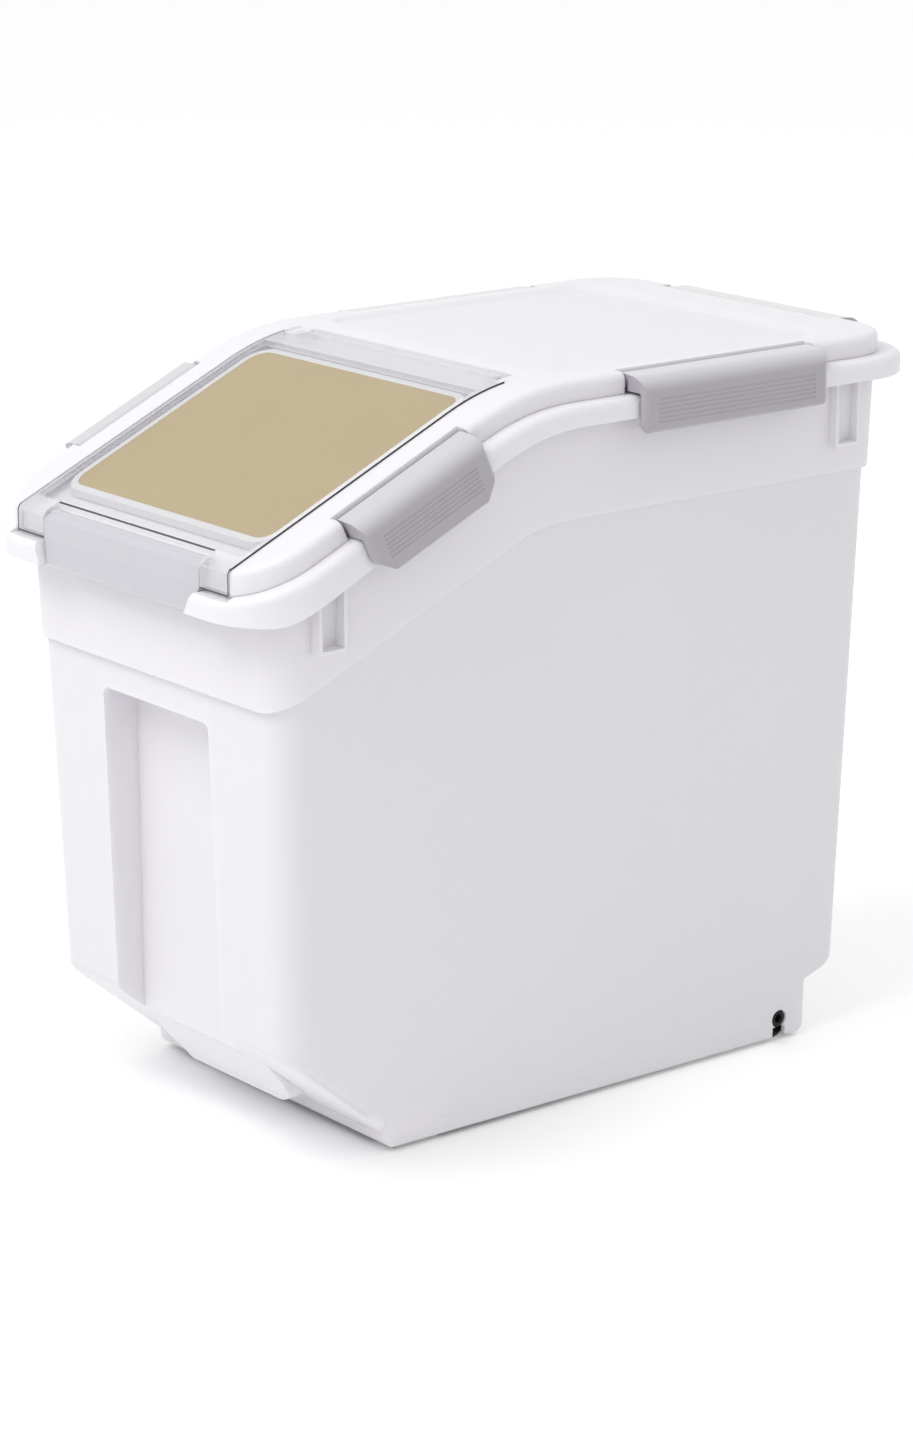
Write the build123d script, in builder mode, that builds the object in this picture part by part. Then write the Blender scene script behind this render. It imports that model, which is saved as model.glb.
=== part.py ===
"""Rolling ingredient bin: tub, lid with a clear flip door, latches, wheels and feet.

Millimetres. +Z is up, the front faces -Y, and the origin is on the floor under the middle of the whole bin.
A drop is a depth below the lid's top surface, measured square to it.
"""

import os

from build123d import *
from math import cos, radians, sin, sqrt, tan

os.makedirs("parts", exist_ok=True)

# Clearances
RUN = 0.3  # between faces that pass each other
REST = 0.1  # under the lid's edge, where it rests on the rim
PIN_RUN = 0.05  # round a pin that something turns on
PIN_SEAT = 0.02  # round a pin that is held
BITE = 0.5  # overlap that joins two shapes of one piece

# Lid profile, seen from the side
LID_TOP = 350.0  # height of the flat rear part
SLOPE = 24.4  # fall of the front part, degrees
BEND_BACK = 132.5  # where the two parts would meet, behind the mouth's front end
BEND_R = 130.0  # radius of the bend between them

# Tub walls
RIM_DROP = 10.0
MOUTH_W = 201.6
MOUTH_L = 356.0
MOUTH_R = 14.0  # upright corners
DRAFT = 1.6  # degrees
WALL = 2.5
COLLAR_STEP = 2.5
COLLAR_DEPTH = 55.0  # below the rim
BORE_INSET = 2.3  # seal rebate, from the walls at the rim
BORE_DEPTH = 16.0  # below the rim

# Tub underside
SKIRT_Z = 2.5
FLOOR_Z = 20.0
TOE_BACK = 64.5  # behind the mouth's front end
TOE_Z = 9.0
TOE_ANGLE = 39.8  # degrees
TOE_R = 4.0
TOE_EDGE_R = 8.0  # under the front wall
HEEL_AHEAD = 33.5  # before the mouth's rear end
HEEL_Z = 26.0
HEEL_ANGLE = 17.7  # degrees
HEEL_EDGE_R = 6.0  # under the rear wall
FLOOR_R = 6.0  # inside, where the floor meets the toe

# Bulge under the front wall
BULGE_W = 96.0
BULGE_R = 14.0
BULGE_BACK = 45.5  # its lip, behind the mouth's front end
BULGE_Z = 14.5
BULGE_LIP = 2.5  # height of its front lip
BULGE_RISE = 1.32  # fall of its face over its run

# Finger recess in the front wall
GRIP_W = 84.0
GRIP_TOP = 204.0
GRIP_DEPTH = 22.5  # behind the mouth's front end
GRIP_R = 4.0

# Turned-down rim of the tub
FLANGE_OUT = 13.2  # beyond the side walls at the rim
FLANGE_OUT_FRONT = 18.75  # beyond the front wall at the rim
FLANGE_OUT_REAR = 21.75  # beyond the rear wall at the rim
FLANGE_R = 38.0
FLANGE_H = 10.0  # on the flat part
FLANGE_H_FRONT = 9.0  # on the front face
FLANGE_FALL = 26.5  # of its lower edge under the slope, degrees
FLANGE_TURN_R = 30.0  # where that edge turns level
FLANGE_T = 2.5
FLANGE_EDGE_R = 4.0
SHELF_SINK = 1.6  # shelf for the door's front edge, below the rim there
SHELF_BACK = 0.7  # behind the lid's front edge
SHELF_SIDE = 2.5  # beyond the door's sides
KEEPER_SETBACK = 9.25  # wall behind the front latch, from the rim's front face
KEEPER_H = 6.0  # below the shelf
KEEPER_GAP = 1.5  # beyond each end of the latch

# Braces under the rim
BRACE_W = 15.5
BRACE_T = 2.0
BRACE_OUT = 7.0  # short of the rim's outer face
BRACE_REAR_AHEAD = 26.5  # before the mouth's rear end
BRACE_REAR_DROP = 52.0
BRACE_FRONT_BACK = 26.0  # behind the mouth's front end
BRACE_FRONT_DROP = 51.0

# Lid
LID_SETBACK = 8.0  # from the rim's outer face, at the sides
LID_SETBACK_REAR = 12.0
LID_SETBACK_FRONT = 4.75
LID_R = 30.0
LID_T = 4.0
LID_WALL = 2.5
LID_EDGE_R = 3.5
PANEL_W = 184.0  # sunk panel on the flat part
PANEL_BACK = 33.0  # its front edge, behind the bend
PANEL_AHEAD = 20.5  # its rear edge, before the mouth's rear end
PANEL_R = 16.0
PANEL_DEPTH = 2.0
PANEL_SLOPE = 4.0  # width of its sloping sides
PANEL_SLOPE_REAR = 10.0
PLUG_GAP = 1.9  # plug to the seal rebate
PLUG_T = 2.2
PLUG_DEPTH = 10.0  # below the rim
SEAL_TOP = 3.0  # below the rim
SEAL_H = 5.0

# Flip door
DOOR_W = 168.0
DOOR_GAP = 0.8  # to the sides of its recess
DOOR_PROUD = 0.6  # above the lid
DOOR_T = 2.6
DOOR_EDGE_R = 4.5
APRON_SETBACK = 5.75  # front edge, from the rim's front face
APRON_GAP = 1.9  # to the lid's front edge behind it
APRON_LIFT = 1.3  # above the shelf
DECK_DROP = 5.6  # floor of the recess
RECESS_R = 3.0
DOOR_HINGE_BACK = 12.0  # behind the bend
RECESS_REAR = 6.0  # behind the hinge axis
DOOR_BARREL_R = 2.4
DOOR_BARREL_W = 149.4
BOSS_FRONT = 4.2  # before the hinge axis
BOSS_DROP = 0.8
BOSS_SIDE_GAP = 0.5
DOOR_CORNER = 1.0  # door's rear corners, before the bosses
DOOR_PIN_R = 1.25
DOOR_PIN_IN = 9.0  # length inside the barrel

# Tan panel and its seal under the door
OPENING_W = 148.0
OPENING_BACK = 14.5  # its front edge, behind the mouth's front end
OPENING_AHEAD = 13.5  # its rear edge, before the bend
OPENING_R = 5.5
WINDOW_LAP = 2.5  # beyond the opening
WINDOW_T = 1.5
DOOR_SEAL_W = 3.5
SKIN = 0.05  # glue gap

# Latches
LATCH_IN = 3.5  # hinge axis, inside the lid's edge
LATCH_DROP = 4.0
LATCH_BARREL_R = 3.2
LATCH_T = 2.8
LATCH_GAP = 1.4  # to the rim's outer face
LATCH_CROWN_R = 9.0
LATCH_FALL = 1.2  # of its top, from the barrel to the outer face
LATCH_FOOT_R = 1.8
HOOK_BELOW = 3.0  # tip of the hook, below the rim's lower edge
HOOK_RAMP = 1.2
HOOK_H = 4.0
LATCH_PIN_R = 1.25
NOTCH_BACK = 4.2  # behind the hinge axis
NOTCH_END = 1.2  # beyond each end of the latch
LUG = 6.0  # length of the pin's seat in the lid
LUG_DEEP = 4.0  # below the hinge axis
GROOVES = 6
GROOVE_DROP = 17.0  # middle of the grooves
GROOVE_W = 0.8
GROOVE_PITCH = 2.1
GROOVE_DEPTH = 0.2
GROOVE_END = 9.0  # short of each end of the latch
LATCH_END_R = 4.0  # of its outer ends, seen from above
CHEEK_T = 2.4  # walls at its ends
SIDE_LATCH_AHEAD = 106.5  # its middle, before the mouth's rear end
SIDE_LATCH_L = 114.0
SIDE_LATCH_CORNER = 4.0
SLOPE_LATCH_AHEAD = 65.0  # its middle, before the bend
SLOPE_LATCH_L = 74.0
SLOPE_LATCH_CORNER = 10.0
REAR_LATCH_L = 120.0

# Front latch on the door
FRONT_LATCH_W = 123.6
FRONT_LATCH_TAPER = 5.5  # narrower at each end of its lower edge
FRONT_LATCH_FALL = 3.7  # of its top, from the barrel to the face
FRONT_LATCH_FLARE = 2.8  # of its lower edge, before the door's front edge
FRONT_LATCH_BELOW = 0.6  # below the rim's front face
FRONT_CROWN_R = 3.0
FRONT_WAIST_R = 12.0
FRONT_BARREL_GAP = 0.8  # to the rear of the door's cut-out
EAR_GAP = 0.4
EAR_T = 3.6
EAR_REACH = 3.2  # before and behind the pin
LATCH_BAY = 8.9  # depth of the door's front cut-out

# Wheels at the rear
WHEEL_R = 11.5
WHEEL_W = 14.0
WHEEL_EDGE_R = 1.5
WHEEL_GAP = 0.6  # to the seats on both sides
WHEEL_ROOM = 1.5  # round the tread
AXLE_R = 3.0
AXLE_HEAD_R = 4.4
AXLE_HEAD_T = 1.3
AXLE_HEAD_SINK = 0.4  # below the skirt's face
AXLE_HEAD_GAP = 0.2
AXLE_BOSS_R = 6.5
AXLE_BOSS_T = 1.6  # inside the skirt
CLIP_R = 5.0
CLIP_T = 2.0
CLIP_GAP = 0.2
AXLE_END = 0.8  # beyond the clip
SKIRT_NOTCH_W = 8.0
SKIRT_NOTCH_H = 5.0

# Pads under the front ends of the skirts
PAD_W = 12.0
PAD_L = 24.0
PAD_SET = 1.5  # depth of its pocket
PAD_GAP = 0.1
PAD_MARGIN = 2.6  # to the skirt's outer face
PAD_BEHIND_TOE = 7.0
PAD_RIM = 2.2

# Places worked out from the sizes above
REAR_MORE = FLANGE_OUT_REAR - FLANGE_OUT_FRONT + LATCH_GAP + LATCH_T  # more length behind the mouth
MOUTH_Y = -REAR_MORE / 2  # so that the whole bin is centred
MOUTH_FRONT = MOUTH_Y - MOUTH_L / 2
MOUTH_REAR = MOUTH_Y + MOUTH_L / 2
RIM_Z = LID_TOP - RIM_DROP
FLANGE_X = MOUTH_W / 2 + FLANGE_OUT
FLANGE_FRONT = MOUTH_FRONT - FLANGE_OUT_FRONT
FLANGE_REAR = MOUTH_REAR + FLANGE_OUT_REAR
SKY = LID_TOP + MOUTH_L  # past every piece
BEND_Y = MOUTH_FRONT + BEND_BACK
SLOPE_RISE = tan(radians(SLOPE))
HALF_BEND = tan(radians(SLOPE) / 2)
BEND_CENTRE_Y = BEND_Y + BEND_R * HALF_BEND
DRAFT_RISE = tan(radians(DRAFT))
TOE_RISE = tan(radians(TOE_ANGLE))
HEEL_RISE = tan(radians(HEEL_ANGLE))
TOE_Y = MOUTH_FRONT + TOE_BACK
HEEL_Y = MOUTH_REAR - HEEL_AHEAD
GRIP_Y = MOUTH_FRONT + GRIP_DEPTH
BULGE_FRONT = MOUTH_FRONT + BULGE_BACK
PANEL_FRONT = BEND_Y + PANEL_BACK
PANEL_REAR = MOUTH_REAR - PANEL_AHEAD
OPENING_FRONT = MOUTH_FRONT + OPENING_BACK
OPENING_REAR = BEND_Y - OPENING_AHEAD
DOOR_HINGE_Y = BEND_Y + DOOR_HINGE_BACK
SIDE_LATCH_Y = MOUTH_REAR - SIDE_LATCH_AHEAD
SLOPE_LATCH_Y = BEND_Y - SLOPE_LATCH_AHEAD
SIDE_DROP = RIM_DROP - REST
LID_X = FLANGE_X - LID_SETBACK
LID_FRONT = FLANGE_FRONT + LID_SETBACK_FRONT
LID_REAR = FLANGE_REAR - LID_SETBACK_REAR


def lid_height(drop, y):
    """Height of the lid profile, offset down by the drop, at one y."""
    radius = BEND_R - drop
    behind = BEND_CENTRE_Y - y
    if behind <= 0:
        return LID_TOP - drop
    if behind < radius * sin(radians(SLOPE)):
        return LID_TOP - BEND_R + sqrt(radius**2 - behind**2)
    knee = BEND_Y + drop * HALF_BEND
    return LID_TOP - drop - (knee - y) * SLOPE_RISE


def bent(drop):
    """The lid profile, offset down by the drop, as a line in the side view."""
    knee = BEND_Y + drop * HALF_BEND
    fall = (knee + SKY) * SLOPE_RISE
    level = LID_TOP - drop
    return FilletPolyline((-SKY, level - fall), (knee, level), (SKY, level), radius=BEND_R - drop)


def rounded(half_width, front, rear, radius):
    """Rounded rectangle in plan."""
    with BuildSketch(mode=Mode.PRIVATE) as drawn:
        with Locations((0, (front + rear) / 2)):
            RectangleRounded(2 * half_width, rear - front, radius)
    return drawn.sketch


def between(shape, top, bottom=None):
    """Upright solid of a plan shape between two drops, or from one drop to the floor."""
    with BuildPart(mode=Mode.PRIVATE) as made:
        extrude(shape, amount=SKY)
        with BuildSketch(Plane.YZ):
            with BuildLine():
                upper = bent(top)
                lower = bent(bottom) if bottom else Line((-SKY, -SKY), (SKY, -SKY))
                Line(upper @ 0, lower @ 0)
                Line(upper @ 1, lower @ 1)
            make_face()
        extrude(amount=SKY, both=True, mode=Mode.INTERSECT)
    return made.part


def side_prism(points, half_width, radii=0):
    """Prism across the bin of an outline in the side view."""
    with BuildPart(mode=Mode.PRIVATE) as made:
        with BuildSketch(Plane.YZ):
            with BuildLine():
                FilletPolyline(*points, radius=radii, close=True)
            make_face()
        extrude(amount=half_width, both=True)
    return made.part


def block(x_span, y_span, z_span):
    """Box between two x, two y and two z."""
    corner = Vector(x_span[0], y_span[0], z_span[0])
    size = Vector(x_span[1], y_span[1], z_span[1]) - corner
    with BuildPart(Plane.XY.offset(corner.Z), mode=Mode.PRIVATE) as made:
        with Locations((corner.X, corner.Y)):
            Box(size.X, size.Y, size.Z, align=Align.MIN)
    return made.part


def mouth_plan(inset):
    """The walls' outline at the rim, set in all round."""
    return rounded(MOUTH_W / 2 - inset, MOUTH_FRONT + inset, MOUTH_REAR - inset, MOUTH_R - inset)


def belly(inset, points, radii=0):
    """The drafted walls, set in all round, as a solid cut to an outline in the side view."""
    half = MOUTH_W / 2 - inset
    front = MOUTH_FRONT + inset
    rear = MOUTH_REAR - inset
    lean = RIM_Z * DRAFT_RISE
    with BuildPart(mode=Mode.PRIVATE) as made:
        add(side_prism([(front + lean, 0), (rear - lean, 0), (rear, RIM_Z), (front, RIM_Z)], SKY))
        with BuildSketch(Plane.XZ):
            with BuildLine():
                Polyline((lean - half, 0), (half - lean, 0), (half, RIM_Z), (-half, RIM_Z), close=True)
            make_face()
        extrude(amount=SKY, both=True, mode=Mode.INTERSECT)
        corners = made.edges().filter_by(lambda e: e.bounding_box().size.Z > BITE)
        fillet(corners, MOUTH_R - inset)
        add(side_prism(points, SKY, radii), mode=Mode.INTERSECT)
    return made.part


def wall_x(z):
    """Half width over the drafted walls at one height."""
    return MOUTH_W / 2 - (RIM_Z - z) * DRAFT_RISE


def rod(side, x_span, y, z, radius):
    """Rod along X, mirrored by the side."""
    with BuildPart(Plane.YZ.offset(x_span[0] * side), mode=Mode.PRIVATE) as made:
        with BuildSketch(Plane.YZ.offset(x_span[0] * side)):
            with Locations((y, z)):
                Circle(radius)
        extrude(amount=(x_span[1] - x_span[0]) * side)
    return made.part


def save(piece, name):
    """Label a piece and write its file."""
    piece.part.label = name
    export_step(piece.part, f"parts/{name}.step")


SIDES = {"right": 1, "left": -1}

# Front edge: lid, door and front latch
APRON_FRONT = FLANGE_FRONT + APRON_SETBACK
LID_BROW = APRON_FRONT + DOOR_T + APRON_GAP
SHELF_Z = lid_height(RIM_DROP, APRON_FRONT) - SHELF_SINK
APRON_Z = SHELF_Z + APRON_LIFT
BARREL_DROP = DECK_DROP - RUN - DOOR_BARREL_R  # axes of the door's hinge and its latch
FRONT_PIN_Y = APRON_FRONT + LATCH_BAY - FRONT_BARREL_GAP - DOOR_BARREL_R
FRONT_PIN_Z = lid_height(BARREL_DROP, FRONT_PIN_Y)
RECESS_X = DOOR_W / 2 + DOOR_GAP
RECESS_BACK = DOOR_HINGE_Y + RECESS_REAR
DOOR_HINGE_Z = lid_height(BARREL_DROP, DOOR_HINGE_Y)
BAY_X = FRONT_LATCH_W / 2 + EAR_GAP
KEEPER_Y = FLANGE_FRONT + KEEPER_SETBACK
KEEPER_Z = SHELF_Z - KEEPER_H

# Lower edge of the rim, level on the front face and on the flat part
FLANGE_BOTTOM = RIM_DROP + FLANGE_H
FLANGE_UNDER = RIM_DROP + FLANGE_T
FLANGE_RISE = tan(radians(FLANGE_FALL))
FLANGE_LEVEL = LID_TOP - FLANGE_BOTTOM
FLANGE_FRONT_Z = lid_height(RIM_DROP, FLANGE_FRONT) - FLANGE_H_FRONT
FLANGE_KNEE = BEND_Y + FLANGE_BOTTOM * HALF_BEND
FLANGE_TURN = FLANGE_KNEE - (FLANGE_LEVEL - FLANGE_FRONT_Z) / FLANGE_RISE


def latch_plane(centre, out, up):
    """Plane square to a latch's hinge: its x points out of the bin and its y up the lid's normal."""
    return Plane(centre, x_dir=out, z_dir=Vector(out).cross(Vector(up)))


LEVEL = (0, 0, 1)
TILT = (0, -sin(radians(SLOPE)), cos(radians(SLOPE)))
HINGE_X = LID_X - LATCH_IN
HINGE_Z = LID_TOP - LATCH_DROP
SLOPE_Z = lid_height(LATCH_DROP, SLOPE_LATCH_Y)
RIM_BELOW = FLANGE_BOTTOM - LATCH_DROP  # lower edge of the rim, below a level latch's axis
SLOPE_RIM_Z = FLANGE_LEVEL - (FLANGE_KNEE - SLOPE_LATCH_Y) * FLANGE_RISE
SLOPE_RIM_BELOW = (SLOPE_Z - SLOPE_RIM_Z) * cos(radians(SLOPE))

# Hinge plane, reach to the rim, depth to its lower edge, length and lower corner of each latch on the lid
LID_LATCHES = {}
for side_name, side in SIDES.items():
    LID_LATCHES[f"{side_name}_front_latch"] = (
        latch_plane((side * HINGE_X, SLOPE_LATCH_Y, SLOPE_Z), (side, 0, 0), TILT),
        FLANGE_X - HINGE_X,
        SLOPE_RIM_BELOW,
        SLOPE_LATCH_L,
        SLOPE_LATCH_CORNER,
    )
    LID_LATCHES[f"{side_name}_rear_latch"] = (
        latch_plane((side * HINGE_X, SIDE_LATCH_Y, HINGE_Z), (side, 0, 0), LEVEL),
        FLANGE_X - HINGE_X,
        RIM_BELOW,
        SIDE_LATCH_L,
        SIDE_LATCH_CORNER,
    )
LID_LATCHES["rear_latch"] = (
    latch_plane((0, LID_REAR - LATCH_IN, HINGE_Z), (0, 1, 0), LEVEL),
    FLANGE_REAR - LID_REAR + LATCH_IN,
    RIM_BELOW,
    REAR_LATCH_L,
    SIDE_LATCH_CORNER,
)

# Tub
TOE_FAR = TOE_Z + (TOE_Y + SKY) * TOE_RISE
HEEL_FAR = HEEL_Z + (SKY - HEEL_Y) * HEEL_RISE
TOE_WALL = WALL / cos(radians(TOE_ANGLE))
HEEL_WALL = WALL / cos(radians(HEEL_ANGLE))
HEEL_IN = HEEL_Y - WALL
CEILING = FLOOR_Z - WALL
FLOOR_FRONT = TOE_Y - (FLOOR_Z - TOE_Z - TOE_WALL) / TOE_RISE

outer_outline = [
    (TOE_Y, SKIRT_Z),
    (TOE_Y, TOE_Z),
    (-SKY, TOE_FAR),
    (-SKY, SKY),
    (SKY, SKY),
    (SKY, HEEL_FAR),
    (HEEL_Y, HEEL_Z),
    (HEEL_Y, SKIRT_Z),
]
cavity_outline = [
    (FLOOR_FRONT, FLOOR_Z),
    (-SKY, TOE_FAR + TOE_WALL),
    (-SKY, SKY),
    (SKY, SKY),
    (SKY, HEEL_FAR + HEEL_WALL),
    (HEEL_IN, HEEL_Z + HEEL_WALL - WALL * HEEL_RISE),
    (HEEL_IN, FLOOR_Z),
]


def span(front, rear, bottom, top):
    """Rectangle in the side view."""
    return [(front, bottom), (rear, bottom), (rear, top), (front, top)]


# Wheels, axles and wheel wells
AXLE_Z = WHEEL_R
AXLE_Y = HEEL_IN - WHEEL_ROOM - WHEEL_R
SKIRT_X = wall_x(AXLE_Z)
WHEEL_OUT = SKIRT_X - WALL - AXLE_BOSS_T - WHEEL_GAP
WHEEL_IN = WHEEL_OUT - WHEEL_W
WELL_X = WHEEL_IN - WHEEL_GAP
WELL_TOP = AXLE_Z + WHEEL_R + WHEEL_ROOM
WELL_FRONT = AXLE_Y - WHEEL_R - WHEEL_ROOM
HEAD_OUT = wall_x(AXLE_Z - AXLE_HEAD_R) - AXLE_HEAD_SINK
HEAD_IN = HEAD_OUT - AXLE_HEAD_T
CLIP_OUT = WELL_X - WALL - CLIP_GAP
CLIP_IN = CLIP_OUT - CLIP_T

# Pads
PAD_X = wall_x(SKIRT_Z) - PAD_MARGIN - PAD_W / 2
PAD_Y = TOE_Y + PAD_BEHIND_TOE + PAD_L / 2
FOOT_X = PAD_X - PAD_W / 2 - PAD_RIM
FOOT_REAR = PAD_Y + PAD_L / 2 + PAD_RIM

flange_plan = rounded(FLANGE_X, FLANGE_FRONT, FLANGE_REAR, FLANGE_R)
flange_in_plan = rounded(
    FLANGE_X - FLANGE_T, FLANGE_FRONT + FLANGE_T, FLANGE_REAR - FLANGE_T, FLANGE_R - FLANGE_T
)
rim_outline = [
    (-SKY, FLANGE_FRONT_Z),
    (FLANGE_TURN, FLANGE_FRONT_Z),
    (FLANGE_KNEE, FLANGE_LEVEL),
    (SKY, FLANGE_LEVEL),
    (SKY, SKY),
    (-SKY, SKY),
]

# Turned-down rim: its outer form with the top edge rounded, and then the hollow rim
with BuildPart() as rim:
    add(between(flange_plan, RIM_DROP))
    rim_radii = [0, FLANGE_TURN_R, BEND_R - FLANGE_BOTTOM, 0, 0, 0]
    add(side_prism(rim_outline, SKY, rim_radii), mode=Mode.INTERSECT)
    rim_edges = rim.edges().filter_by(
        lambda e: e.center().Z > lid_height(FLANGE_UNDER, e.center().Y)
        and (abs(e.center().X) > BITE or not FLANGE_FRONT + BITE < e.center().Y < FLANGE_REAR - BITE)
    )
    fillet(rim_edges, FLANGE_EDGE_R)
with BuildPart() as flange:
    add(rim.part)
    add(between(flange_in_plan, FLANGE_UNDER), mode=Mode.SUBTRACT)

# Room inside the tub, leaving a wall behind the finger recess
with BuildPart() as cavity:
    add(belly(WALL, cavity_outline, [FLOOR_R, 0, 0, 0, 0, 0, 0]))
    grip_wall = block(
        (-GRIP_W / 2 - WALL, GRIP_W / 2 + WALL), (-SKY, GRIP_Y + WALL), (0, GRIP_TOP + WALL)
    )
    add(grip_wall, mode=Mode.SUBTRACT)

# Collar under the rim
with BuildPart() as collar:
    add(belly(-COLLAR_STEP, span(-SKY, SKY, 0, SKY)))
    below_rim = between(flange_plan, RIM_DROP, RIM_DROP + COLLAR_DEPTH)
    add(below_rim, mode=Mode.INTERSECT)

# Braces under the rim, each a pocket between two ribs
brace_places = (
    (MOUTH_REAR - BRACE_REAR_AHEAD, BRACE_REAR_DROP),
    (MOUTH_FRONT + BRACE_FRONT_BACK, BRACE_FRONT_DROP),
)
with BuildPart() as braces:
    for y, drop in brace_places:
        foot = lid_height(drop, y)
        reach = FLANGE_X - BRACE_OUT
        half = BRACE_W / 2
        add(block((-reach, reach), (y - half, y + half), (foot, RIM_Z)))
        half -= BRACE_T
        pocket = block((-SKY, SKY), (y - half, y + half), (foot + BRACE_T, RIM_Z))
        add(pocket, mode=Mode.SUBTRACT)
    add(between(flange_plan, FLANGE_UNDER - BITE), mode=Mode.INTERSECT)

# Bulge under the front wall
bulge_run = (TOE_Z + (TOE_Y - BULGE_FRONT) * TOE_RISE - BULGE_Z - BULGE_LIP) / (BULGE_RISE - TOE_RISE)
bulge_top = BULGE_Z + BULGE_LIP + bulge_run * BULGE_RISE
bulge_outline = [
    (BULGE_FRONT, BULGE_Z),
    (BULGE_FRONT, BULGE_Z + BULGE_LIP),
    (BULGE_FRONT - bulge_run, bulge_top),
    (TOE_Y, bulge_top),
    (TOE_Y, BULGE_Z),
]
with BuildPart() as bulge:
    with BuildSketch(Plane.XZ):
        with Locations((0, bulge_top)):
            RectangleRounded(BULGE_W, 2 * (bulge_top - BULGE_Z), BULGE_R)
    extrude(amount=SKY, both=True)
    add(side_prism(bulge_outline, SKY), mode=Mode.INTERSECT)

# Finger recess
with BuildPart() as grip:
    with BuildSketch(Plane.XZ.offset(-GRIP_Y)):
        RectangleRounded(GRIP_W, 2 * GRIP_TOP, GRIP_R)
    extrude(amount=SKY)

# Wheel wells: their walls and the room inside
with BuildPart() as well_walls:
    add(belly(WALL / 2, span(WELL_FRONT - WALL, HEEL_Y - WALL / 2, SKIRT_Z, WELL_TOP + WALL)))
    add(block((WALL - WELL_X, WELL_X - WALL), (-SKY, SKY), (0, SKY)), mode=Mode.SUBTRACT)
with BuildPart() as well_rooms:
    add(belly(WALL, span(WELL_FRONT, HEEL_IN, 0, WELL_TOP)))
    add(block((-WELL_X, WELL_X), (-SKY, SKY), (0, SKY)), mode=Mode.SUBTRACT)

# Solid feet at the front ends of the skirts
with BuildPart() as feet:
    foot_outline = span(TOE_Y + WALL / 2, FOOT_REAR, SKIRT_Z, FLOOR_Z - WALL / 2)
    add(belly(WALL / 2, foot_outline, [TOE_R, 0, 0, 0]))
    add(block((-FOOT_X, FOOT_X), (-SKY, SKY), (0, SKY)), mode=Mode.SUBTRACT)

# Shelf in the rim for the door's front edge
shelf_back = LID_BROW + SHELF_BACK
shelf_x = DOOR_W / 2 + SHELF_SIDE
with BuildPart() as shelf:
    outer_shelf = (-shelf_x - FLANGE_T, shelf_x + FLANGE_T)
    add(block(outer_shelf, (-SKY, shelf_back + FLANGE_T), (SHELF_Z - FLANGE_T, SKY)))
    add(rim.part, mode=Mode.INTERSECT)


def latch_bay(grow, rear):
    """Room for the front latch in the rim, wider by the growth at each end, back to one y."""
    top = FRONT_LATCH_W / 2 + KEEPER_GAP + grow
    low = top - FRONT_LATCH_TAPER
    with BuildPart(mode=Mode.PRIVATE) as made:
        with BuildSketch(Plane.XZ.offset(-rear)):
            with BuildLine():
                Polyline(
                    (-low, 0),
                    (-low, FLANGE_FRONT_Z),
                    (-top, APRON_Z),
                    (-top, SKY),
                    (top, SKY),
                    (top, APRON_Z),
                    (low, FLANGE_FRONT_Z),
                    (low, 0),
                    close=True,
                )
            make_face()
        extrude(amount=SKY)
    return made.part


# Bay in the rim's front, with a wall behind the front latch that its hook goes under
hook_x = FRONT_LATCH_W / 2 - FRONT_LATCH_TAPER
with BuildPart() as keeper:
    add(latch_bay(FLANGE_T, KEEPER_Y + FLANGE_T))
    add(rim.part, mode=Mode.INTERSECT)
    add(block((-hook_x, hook_x), (-SKY, SKY), (0, KEEPER_Z)), mode=Mode.SUBTRACT)

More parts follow.
